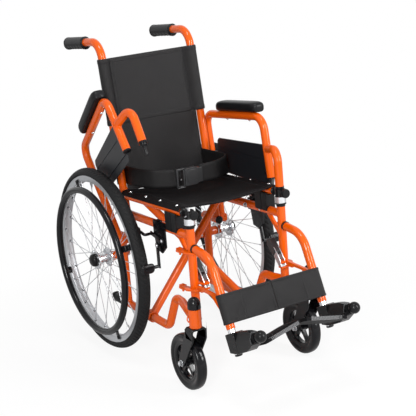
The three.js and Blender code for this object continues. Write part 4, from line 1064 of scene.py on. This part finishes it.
def hanger():
    """The left hanger."""
    x, px, py, out, half = HALF, PIN_X, PIN_Y, TUBE + 2, HINGE_THICK / 2
    shells = [tube(route([[x, y, z] for y, z in HANGER], 62, 16))]
    for z, inboard in zip(HINGE_Z, (8, 28)):
        plate = [[px - 5.5, py + 6.5], [px + 7, py + 8], [px + 13, FRONT_Y], [x + 11, -432.4], [x - inboard, -432.4],
                 [x - inboard, FRONT_Y - out], [x + 8, FRONT_Y - out], [x + out, FRONT_Y + 2],
                 [x + out, FRONT_Y + 22], [px - 8, py - 6]]
        shells += [prism(plate, z - half, z + half, "z"), rod([px, py, z - 16], [px, py, z + 5], 3, 16)]
    gusset = [[-424, 259.7], [-424, 273], [-524, 272], [-545, 222], [-487, 264.4], [-446, 264.4], [-444, 259.7]]
    return shells + [prism(gusset, x - 4, x + 4)]


def along_foot(shells, hand):
    """Moves shells from the foot tube's own axes to the chair."""
    return [moved(handed(shells, hand), [hand * HALF, *HANGER[2]], rotation([1, 0, 0], -HANGER_SLOPE))]


def foot_block():
    """The block that clamps the foot tube, narrower towards its top in front, its ball, and a thin light grey bar
    along its front edge as a painted highlight.
    """
    wide, front = 15.0, BLOCK_FRONT
    y = np.array([-27.0, -70, -84, front])
    low = np.interp(y, [front, -70, -20], [-50, -62, -63])
    high = np.interp(y, [front, -80, -20], [-20, -14, -9])
    slope = np.clip(wide - 9 * (high - HINGE_DROP) / 27.7, 4, wide)
    section = [(-wide, low), (wide, low), (wide, HINGE_DROP), (slope, high), (-slope, high), (-wide, HINGE_DROP)]
    section = np.stack([np.stack(np.broadcast_arrays(x, y, z), -1) for x, z in section], 1)
    rear = prism([[13, -10], [13, -56], [-20, -63], [-28, -62.9], [-28, -9.5], [-20, -9]], -wide, wide)
    ball_y = front - 11 - GAP - 15
    rim = [[wide, front, -48], [wide, front - 0.4, HINGE_DROP], [6.5, front - 0.4, -20.5]]
    rim = [[-x, y, z] for x, y, z in rim] + rim[::-1]
    t = np.linspace(0, math.pi, 17)
    ball = turned([(15 * math.sin(a), -15 * math.cos(a)) for a in t], [0, ball_y, HINGE_DROP], [0, -1, 0])
    neck = rod([0, front + 2, HINGE_DROP], [0, ball_y, HINGE_DROP], 6)
    return [rear, closed(section), neck], [ball], [tube(route(rim, 3, 4), 0.9, 8)]


def footplate():
    """The plate about its hinge line, with ribs near its front edge, and the ribbed strip on that edge."""
    rear, front, reach = BLOCK_FRONT + 72, BLOCK_FRONT - 12, -(HALF - 4)
    outline = [[-17, rear], [-17, front + 3], [-26, front - 2], [reach + 12, front], [reach + 3, front + 5],
               [reach, front + 16], [reach, rear - 22], [reach + 6, rear - 6], [reach + 22, rear]]
    slab = [prism(outline, -4.5, 4.0, "z")]
    for first, count, step, wide, high in ((7, 5, 6.5, 2.6, 4.9), (42, 3, 14, 2, 4.6)):
        for k in range(count):
            y = front + first + k * step
            slab.append(prism([[-28, y], [-28, y + wide], [reach + 9, y + wide], [reach + 9, y]], 3.4, high, "z"))
    # The strip is real, but its light grey is a painted highlight on the plate's front edge.
    strip = [block(reach + 12, -28, front - 1.6, front + 0.4, -4.6, 4.2)]
    for k in range(20):
        x = reach + 13 + k * 4.4
        strip.append(block(x, x + 2.2, front - 2.8, front - 1, -3.6, 3.6))
    tilt = lambda shells: [moved(s, [0, 0, HINGE_DROP - 20], rotation([0, 1, 0], math.radians(12))) for s in shells]
    knuckle = turned([(7, 0), (12.2, 0), (13, 0.8), (13, 9.8), (12.2, 10.6), (7, 10.6)],
                     [0, BLOCK_FRONT - GAP, HINGE_DROP], [0, -1, 0], 32, loop=True)
    web = rod([-3, -106.5, HINGE_DROP - 4], [-26, -106.5, HINGE_DROP - 15], 5, 16)
    return tilt(slab) + [knuckle, web], tilt(strip)


def latch():
    """The latch on its pin: a bushing, a folded lever, and its plastic grip."""
    x, y, z = LATCH_X, LATCH_Y, LATCH_Z
    rise = [[-433, 265], [-420, 265], [-398, 291], [-380, 306], [-388, 320], [-406, 310], [-428, 282]]
    lever = [disc(8, 0, 7, [x, y, z], sides=28, inner=3.6),
             block(x - 8, x + 7, y - 8, y + 5, z, z + 3)]
    lever += [prism(rise, x + low, x + low + 2) for low in (-8.5, 5.5)]
    grasp = [[-412, 302], [-400, 288], [-372, 312], [-372, 328], [-382, 332]]
    return lever, [prism(grasp, x - 10, x + 9)]


bumper = turned([(0, 0), (TUBE + 1.3, 0), (TUBE + 1.3, 5.5), (TUBE + 0.4, 6.5), (0, 6.5)],
                [HALF, HANGER[0][0] + 3.5, HANGER[0][1] + 0.3], [0, -1, -0.084], 32)
make_pair("hanger_tube", hanger(), ENAMEL, "front_hanger", "hanger", "frame_paint", bevel=0.8)
make_pair("bumper_ring", [bumper], PLASTIC, "front_hanger", bevel=0.6)
clamp, ball, edge = foot_block()
plate, strip = footplate()
lever, grasp = latch()
inner_tube = [rod([0, 0, TUBE_END], [0, 0, 90], 9.4, 32)]
plug = [end_cap([0, 0, TUBE_END], [0, 0, -1], 9.4)]
for name, shells, material, body, node, slot, bevel in (
        ("inner_tube", inner_tube, CHROME, "foot_slider", "foot_tube", "chrome", 0.4),
        # the light bar on the block's front edge is a painted highlight
        ("foot_edge", edge, EDGE_HIGHLIGHT, "foot_slider", None, None, 0),
        ("foot_clamp", clamp, PLASTIC, "foot_slider", "foot_block", "black_plastic", 1.6),
        ("foot_ball", ball, PLASTIC, "foot_slider", None, None, 0),
        ("foot_plug", plug, PLASTIC, "foot_slider", None, None, 0),
        ("foot_plate", plate, PLATE, "foot_rest", "footplate", "black_plastic", 0.9),
        # the strip's light grey is a painted highlight
        ("plate_strip", strip, EDGE_HIGHLIGHT, "foot_rest", None, None, 0)):
    make_pair(name, shells, material, body, node, slot, along_foot, bevel=bevel)
make_pair("latch_grip", grasp, CLASP, "latch", bevel=1.5)
make_pair("latch_lever", lever, STEEL, "latch", "hanger_latch", "black_metal", bevel=0.7)
print("hangers slope by", round(math.degrees(HANGER_SLOPE), 1), "degrees")

# %% [markdown]
# ## The sling seat
#
# The seat is one sheet. Its section follows each rail from the outer side over the top, then crosses with a slight
# sag. Flat, it is as wide as its section is long.

# %% The seat


def seat_section(lift=0.0):
    """x and height above the rail's centre of the seat's section, from the right rail to the left one."""
    wrap = TUBE + GAP + 1.5 + lift
    left = arc(wrap, 14, 88, 9, HALF)
    x = np.linspace(HALF - 3, -HALF + 3, 36)
    free = np.clip(1 - (x / (HALF - 2)) ** 2, 0, 1)
    middle = np.stack([x, wrap - 10 * free ** 0.9], -1)
    return np.concatenate([left, middle, (left * [-1, 1])[::-1]])


def seat_sheet(y, lift=0.0):
    """Points of the seat at each y. Between its screws the cloth puckers a little at the rails."""
    section = seat_section(lift)
    x, y = np.meshgrid(section[:, 0], y)
    pucker = 0.9 * np.sin(2 * math.pi * (y + 98) / 86) * np.exp(-((np.abs(x) - 118) / 16) ** 2)
    ripple = 0.5 * np.sin(y * 0.07 + x * 0.03) * (np.abs(x) < 110)
    return np.stack([x, y, seat_z(y) + section[:, 1] + pucker + ripple], -1)


seat_y = np.linspace(SEAT_REAR[0] + 3, SEAT_FRONT[0] + 4, 60)
# The seat wears the darker copy of the nylon, which is painted shade.
seat = make_piece("seat_cloth", [surface(seat_sheet(seat_y))], SHADED_SEAT_NYLON, None, ["seat_sling"], "nylon", thickness=2.6)
hems = [sweep(seat_sheet([y])[0], tape(6, 2.4), [0, 1, 0])
        for y in (SEAT_REAR[0] + 7, SEAT_FRONT[0] + 8)]
hem = make_piece("seat_hems", hems, SHADED_SEAT_NYLON, None, slot="nylon", angle=50)
rows = [seat_sheet([y], 2.4)[0][9:-9] for y in (SEAT_REAR[0] + 15, SEAT_FRONT[0] + 17, SEAT_FRONT[0] + 4)]
rows += [seat_sheet(seat_y, 1.6)[:, int(np.argmin(np.abs(seat_section()[:, 0] - x)))] for x in (118, -118)]
thread = make_piece("seat_stitches", [stitches(row, [0, 0, 1]) for row in rows], THREAD, None)
blend_start, blend_end = (-0.128, AXLE_Y - 0.2, 0.45), (0.128, AXLE_Y - 0.2, 0.45)
for piece in (seat, hem, thread):
    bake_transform(piece)
    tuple(blend_start)
    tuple(blend_end)
for name, hand, body in (("right", -1, "cross_b"), ("left", 1, "cross_a")):
    screws = [dome([hand * (HALF + 2), y, seat_z(y) + TUBE + GAP + 2.7], [hand * 0.15, 0, 1], 3.6, 1.8)
              for y in (-98, -185, -263, -350)]
    make_piece(f"seat_screws_{name}", screws, CHROME, body)
section_length = length_of(seat_section())
print("seat cut", round(section_length), "x", round(seat_y[0] - seat_y[-1]), "mm")

# %% [markdown]
# ## The sling back
#
# It is drawn along the canes. From the seam behind the panel the cloth goes round the cane and back to the seam,
# which makes a raised sleeve, and then crosses to the other cane. Below the sleeves a narrower panel hangs on.

# %% The back


def back_place(points):
    """Moves points from the canes' own axes (z along the cane, y = 0 in its plane) to the chair."""
    return points @ rotation([1, 0, 0], -RECLINE).T + np.array([0, *CANE_FOOT])


def along_cane(z):
    """The distance along the cane of a height above the floor."""
    return (z - CANE_FOOT[1]) / math.cos(RECLINE)


def back_section():
    """x and y of the section from the seam behind the left cane, round it, across, and round the right one."""
    wrap, seam = TUBE + GAP + 1.5, HALF - 27
    start = [[seam, 3.4], [seam + 6, 5.2], [seam + 13, 9.4]]
    end = [[seam + 14, -8.2], [seam + 9, 0.5], [seam + 5, 4.4], [seam, 3.2]]
    x = np.linspace(seam - 4, -seam + 4, 30)
    middle = np.stack([x, 0.6 + 8 * (1 - (x / seam) ** 2)], -1)
    left = np.concatenate([start, arc(wrap, 118, -118, 27, HALF), end])
    return np.concatenate([left, middle, (left * [-1, 1])[::-1]])


def back_rows(section, z):
    """The section at each distance z along the canes, with a faint vertical ripple."""
    x, z = np.meshgrid(section[:, 0], z)
    return back_place(np.stack([x, section[:, 1] + 0.6 * np.sin(z * 0.045 + x * 0.05) * (np.abs(x) < 105), z], -1))


upper = np.linspace(along_cane(629), along_cane(806), 40)
lower = np.linspace(along_cane(446), along_cane(631), 40)
edge_x = HALF - TUBE - 2.6
lower_x = np.linspace(edge_x, -edge_x, 40)
lower_section = np.stack([lower_x, 0.4 + 8.2 * (1 - (lower_x / edge_x) ** 2)], -1)
back_cloth = make_piece("back_cloth", [surface(back_rows(back_section(), upper)),
                                       surface(back_rows(lower_section, lower))], NYLON, "right_frame",
                        ["back_sling"], "nylon", thickness=2.4)
tall, forward = unit(back_place(np.array([[0, 0, 1.0], [0, -1.0, 0]])) - back_place(np.zeros((1, 3))))
back_hems = [sweep(back_rows(back_section(), [z])[0][3:-3], tape(7, 1.9), tall)
             for z in (upper[0] + 6, upper[-1] - 6)]
back_hems += [sweep(back_rows(lower_section, [lower[0] + 7])[0], tape(7, 1.9), tall)]
for x in (edge_x - 5, -edge_x + 5):
    y = float(np.interp(-abs(x), lower_section[::-1][:, 0][:20], lower_section[::-1][:, 1][:20]))
    path = back_place(upright(x, y, lower[0] + 2, lower[-1] - 4, 12))
    back_hems.append(sweep(path, tape(5, 1.8), [1, 0, 0]))
back_hem = make_piece("back_hems", back_hems, NYLON, "right_frame", slot="nylon", angle=50)
rows = [back_rows(back_section(), [z])[0][34:-34] + forward * 1.4 for z in (upper[0] + 13, upper[-1] - 14)]
rows += [back_rows(lower_section, [lower[0] + 15])[0] + forward * 1.4]
rows += [back_place(upright(x, 0.9, upper[0] + 2, upper[-1] - 2, 30)) + forward * 1.6
         for x in (HALF - 30, -HALF + 30)]
back_thread = make_piece("back_stitches", [stitches(row, forward) for row in rows], THREAD, "right_frame")
section_length = length_of(back_section())
for piece in (back_cloth, back_hem, back_thread):
    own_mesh(piece)

# %% [markdown]
# ## The lap belt
#
# Each half of the webbing starts with a loop round its cane and runs on edge along a smooth curve to the buckle.

# %% The belt
BELT_LOW, BELT_WIDE, BUCKLE_Y = SEAT_FRONT[1] + 13, 50, -203.0
cane_y = CANE_FOOT[0] + (BELT_LOW + BELT_WIDE / 2 - CANE_FOOT[1]) * math.tan(RECLINE)


def smooth_path(points):
    """An open smooth curve through points in two dimensions."""
    p = np.asarray(points, float)
    p = np.vstack([2 * p[0] - p[1], p, 2 * p[-1] - p[-2]])
    t = np.linspace(0, len(p) - 3 - 1e-9, 60)
    k, f = t.astype(int), (t % 1)[:, None]
    return cubic(p[k], p[k + 1], p[k + 2], p[k + 3], f)


def belt_half(points, centre_x, spin):
    """Webbing on edge: from behind the cane round its inner side, then along the curve, with a slight lean."""
    loop = arc(TUBE + GAP + 1.2, 170, -12, 26) * [spin, 1] + [centre_x, cane_y]
    path = np.concatenate([loop[:-1], smooth_path([loop[-1], *points])])
    v = np.linspace(0, 1, 7)
    lean = np.clip(np.arange(len(path)) - 26, 0, 20)[:, None] / 20 * (v - 0.5)[None] * 5
    steps = unit(np.gradient(path, axis=0))
    normal = np.stack([-steps[:, 1], steps[:, 0]], -1) * spin
    flat = path[:, None] + normal[:, None] * lean[..., None]
    z = np.broadcast_to(BELT_LOW + BELT_WIDE * v[None], lean.shape)
    cane_shift = (z - BELT_LOW - BELT_WIDE / 2) * math.tan(RECLINE) * (np.arange(len(path)) < 26)[:, None]
    return np.concatenate([flat, z[..., None]], -1) + np.stack([0 * z, cane_shift, 0 * z], -1), path


belts = {}
for name, points, centre, spin, anchor, keep in (
        ("right", [(-HALF + 13, -92), (-HALF + 36, -160), (-50, BUCKLE_Y)], -HALF, 1, -0.138, 0.17),
        ("left", [(HALF - 4, -105), (HALF - 5, -158), (HALF - 58, -196), (20, BUCKLE_Y)], HALF, -1, 0.138, 0.217)):
    grid, path = belt_half(points, centre, spin)
    belt = make_piece(f"{name}_belt_webbing", [surface(grid)], WEBBING, f"{name}_frame", [f"{name}_lap_belt"],
                      "nylon", thickness=2.2)
    length = length_of(path)
    row = [stitches(grid[32:38, k], [0, -1, 0], 3.2, 2.0, 0.6) for k in (1, 3, 5)]
    thread = make_piece(f"{name}_belt_stitches", row, THREAD, f"{name}_frame")
    for piece in (belt, thread):
        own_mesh(piece)
    belts[name] = round(length)
low_z, high_z, y0 = BELT_LOW - 1, BELT_LOW + BELT_WIDE + 1, BUCKLE_Y


def ladder(x0, x1, z0, z1, wall, near, far):
    """A flat rectangular loop of plastic."""
    return [block(x0, x0 + wall, near, far, z0, z1), block(x1 - wall, x1, near, far, z0, z1),
            block(x0, x1, near, far, z0, z0 + wall), block(x0, x1, near, far, z1 - wall, z1)]


def both_edges(half):
    """An outline given as x and the distance from the belt's lower edge, with its mirror image in the upper one."""
    return [(x, low_z + d) for x, d in half] + [(x, high_z - d) for x, d in half[::-1]]


housing = both_edges([(-29, 2), (4, 2), (10, 6), (23, 6)])
panel = both_edges([(-25, 7), (0, 7), (8, 12)])
buckle = ladder(-55, -31, low_z, high_z, 4.5, y0 - 6, y0 + 5)
buckle += [prism(housing, y0 - 7.5, y0 + 7.5, "y"), prism(rounded(panel, 4), y0 - 8.6, y0 - 7, "y"),
           block(-35, -28, y0 - 4, y0 + 4, low_z + 6, low_z + 14),
           block(-35, -28, y0 - 4, y0 + 4, high_z - 14, high_z - 6)]
front_y = y0 - 6.2
# Thin light grey lines along the clasp's edges: painted highlights.
shine = [route([[-55, front_y, low_z + 1], [-55, front_y, high_z - 1], [-32, front_y, high_z - 0.6]], 3, 4),
         [[-54, front_y, low_z + 0.6], [-33, front_y, low_z + 0.6]],
         [[-29.5, y0 - 7.6, low_z + 4], [-29.5, y0 - 7.6, high_z - 4]]]
make_piece("clasp_edge_highlights", [tube(np.array(line), 0.7, 8) for line in shine], EDGE_HIGHLIGHT, "buckle")
make_piece("belt_clasp", buckle, CLASP, "buckle", ["belt_buckle"], "black_plastic", 1.0)
print("belt halves", belts, "mm long")

# %% [markdown]
# ## The calf strap
#
# A wide band is sewn round both hanger tubes. Its two halves meet in the middle, where a seam joins them.

# %% The calf strap


def strap_half():
    """Section of the left half in the hanger's own axes, from the loop round the tube to the middle."""
    wrap = TUBE + GAP + 1.4
    flat = np.stack([np.linspace(-14, -HALF + 0.6, 26), np.linspace(-wrap, -12.4, 26)], -1)
    return np.concatenate([[[-40, -9.6], [-28, -4], [-18, 3]], arc(wrap, 150, -90, 25), flat])


strap_section = strap_half()
strap_length = length_of(strap_section)
x, z = np.meshgrid(strap_section[:, 0], np.linspace(13, 87, 20))
grid = np.stack([x, strap_section[:, 1] + 0.5 * np.sin(z * 0.11 + x * 0.06) * (x < -20), z], -1)
bound = [sweep(grid[k, 3:] + [0, 0, shift], tape(3.5, 1.9, 4), [0, 0, 1])
         for k, shift in ((0, 3), (-1, -3))]
bound += [sweep(upright(x, y, 15, 85, 8), tape(3, 1.8, 4), [1, 0, 0])
          for x, y in ((-HALF + 4, -12.5), (-46, -12.9))]
seams = [stitches(upright(x, -14.0, 17, 83, 12), [0, -1, 0]) for x in (-HALF + 9, -52)]
for side, hand in SIDES:
    body = f"{side}_front_hanger"
    strap = make_piece(f"{side}_calf_band", along_foot([surface(grid)], hand), NYLON, body, [f"{side}_calf_strap"],
                       "nylon", thickness=2.4)
    binding = make_piece(f"{side}_calf_binding", along_foot(bound, hand), NYLON, body, slot="nylon", angle=50)
    thread = make_piece(f"{side}_calf_stitches", along_foot(seams, hand), THREAD, body)
    for piece in (strap, binding, thread):
        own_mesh(piece)
print("strap halves of", round(strap_length), "mm")

# %% [markdown]
# ## Pieces kept from the CAD model
#
# Sockets, lock brackets, panels, axles and the cross bolt keep their CAD shape. Their edges are rounded a little,
# and they take the same finishes.

# %% Round the edges of what is kept
kept = {"_arm_socket": 0.8, "_brake_bracket": 0.8, "_side_panel": 1.2, "_rear_axle": 0.6, "cross_bolt": 0.6}
for name, node in nodes.items():
    width = next((w for end, w in kept.items() if name.endswith(end)), 0)
    if width:
        node.data.polygons.foreach_set("use_smooth", np.ones(len(node.data.polygons), bool))
        node.data.set_sharp_from_angle(angle=math.radians(35))
        round_edges(node, width)
print("rounded the kept pieces")

# %% [markdown]
# ## Light, floor and background
#
# The picture has a pure white background and only a faint shadow. The camera, mirror and glass rays see plain
# white; all other rays get a softer light. The floor shows its shading near the chair and fades to white.

# %% Light and floor
WHITE = (1, 1, 1, 1)
world = bpy.data.worlds.new("white")
bpy.context.scene.world = world
world.use_nodes = True
tree = world.node_tree
plain = feed(tree, tree.nodes["Background"], {"Color": WHITE, "Strength": 0.34})
seen = add_node(tree, "Background", {"Color": WHITE, "Strength": 1})
rays = add_node(tree, "LightPath").outputs
either = add_node(tree, "Math", {0: rays["Is Camera Ray"], 1: rays["Is Glossy Ray"]}, operation="MAXIMUM")
any_of = add_node(tree, "Math", {0: either.outputs["Value"], 1: rays["Is Transmission Ray"]}, operation="MAXIMUM")
choose = add_node(tree, "MixShader", {0: any_of.outputs["Value"], 1: plain.outputs["Background"],
                                      2: seen.outputs["Background"]})
feed(tree, tree.nodes["World Output"], {"Surface": choose.outputs["Shader"]})


def lamp(name, place, aim_z, wide, tall, power):
    """An area lamp that looks at a point above the middle of the floor."""
    data = bpy.data.lights.new(name, "AREA")
    data.energy = power
    data.shape = "RECTANGLE"
    data.size, data.size_y = wide, tall
    light = bpy.data.objects.new(name, data)
    away = unit(np.array(place) - [0, 0, aim_z])
    sideways = unit(np.cross([0, 0, 1], away))
    light.matrix_world = placed(sideways, np.cross(away, sideways), away, place)
    bpy.context.scene.collection.objects.link(light)


for lamp_line in (("key", (-2.3, -2.6, 1.8), 0.4, 0.6, 1.4, 100), ("softbox", (1.6, -2.7, 1.7), 0.45, 0.75, 1.9, 95),
                  ("top", (-0.4, -0.6, 3.2), 0.4, 0.8, 0.8, 30)):
    lamp(*lamp_line)
floor_mesh = bpy.data.meshes.new("floor")
floor_mesh.from_pydata([(-6, -6, 0), (6, -6, 0), (6, 6, 0), (-6, 6, 0)], [], [(0, 1, 2, 3)])
floor = bpy.data.objects.new("floor", floor_mesh)
bpy.context.scene.collection.objects.link(floor)
white = bpy.data.materials.new("white_floor")
white.use_nodes = True
tree = white.node_tree
tree.nodes.remove(tree.nodes["Principled BSDF"])
matt = add_node(tree, "BsdfDiffuse", {"Color": (0.8, 0.8, 0.8, 1)})
glow = add_node(tree, "Emission", {"Strength": 1})
away = add_node(tree, "VectorMath", {0: add_node(tree, "TexCoord").outputs["Object"]}, operation="LENGTH")
fade = add_node(tree, "MapRange", {"From Min": 0.4, "From Max": 1.0, "To Min": 0.88, "To Max": 1.0,
                                   "Value": away.outputs["Value"]})
share = add_node(tree, "Math", {0: fade.outputs["Result"], 1: add_node(tree, "LightPath").outputs["Is Camera Ray"]},
                 operation="MULTIPLY")
mix = add_node(tree, "MixShader", {0: share.outputs["Value"], 1: matt.outputs["BSDF"], 2: glow.outputs["Emission"]})
feed(tree, tree.nodes["Material Output"], {"Surface": mix.outputs["Shader"]})
floor_mesh.materials.append(white)
floor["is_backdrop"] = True
print("three lamps and a floor")

# %% [markdown]
# ## Measure and finish
#
# The box of the finished model is kept beside the CAD box, so that both can be compared.

# %% Finish
low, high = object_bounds()
print("CAD box", cad_low, cad_high, "visual box", list(low), list(high))
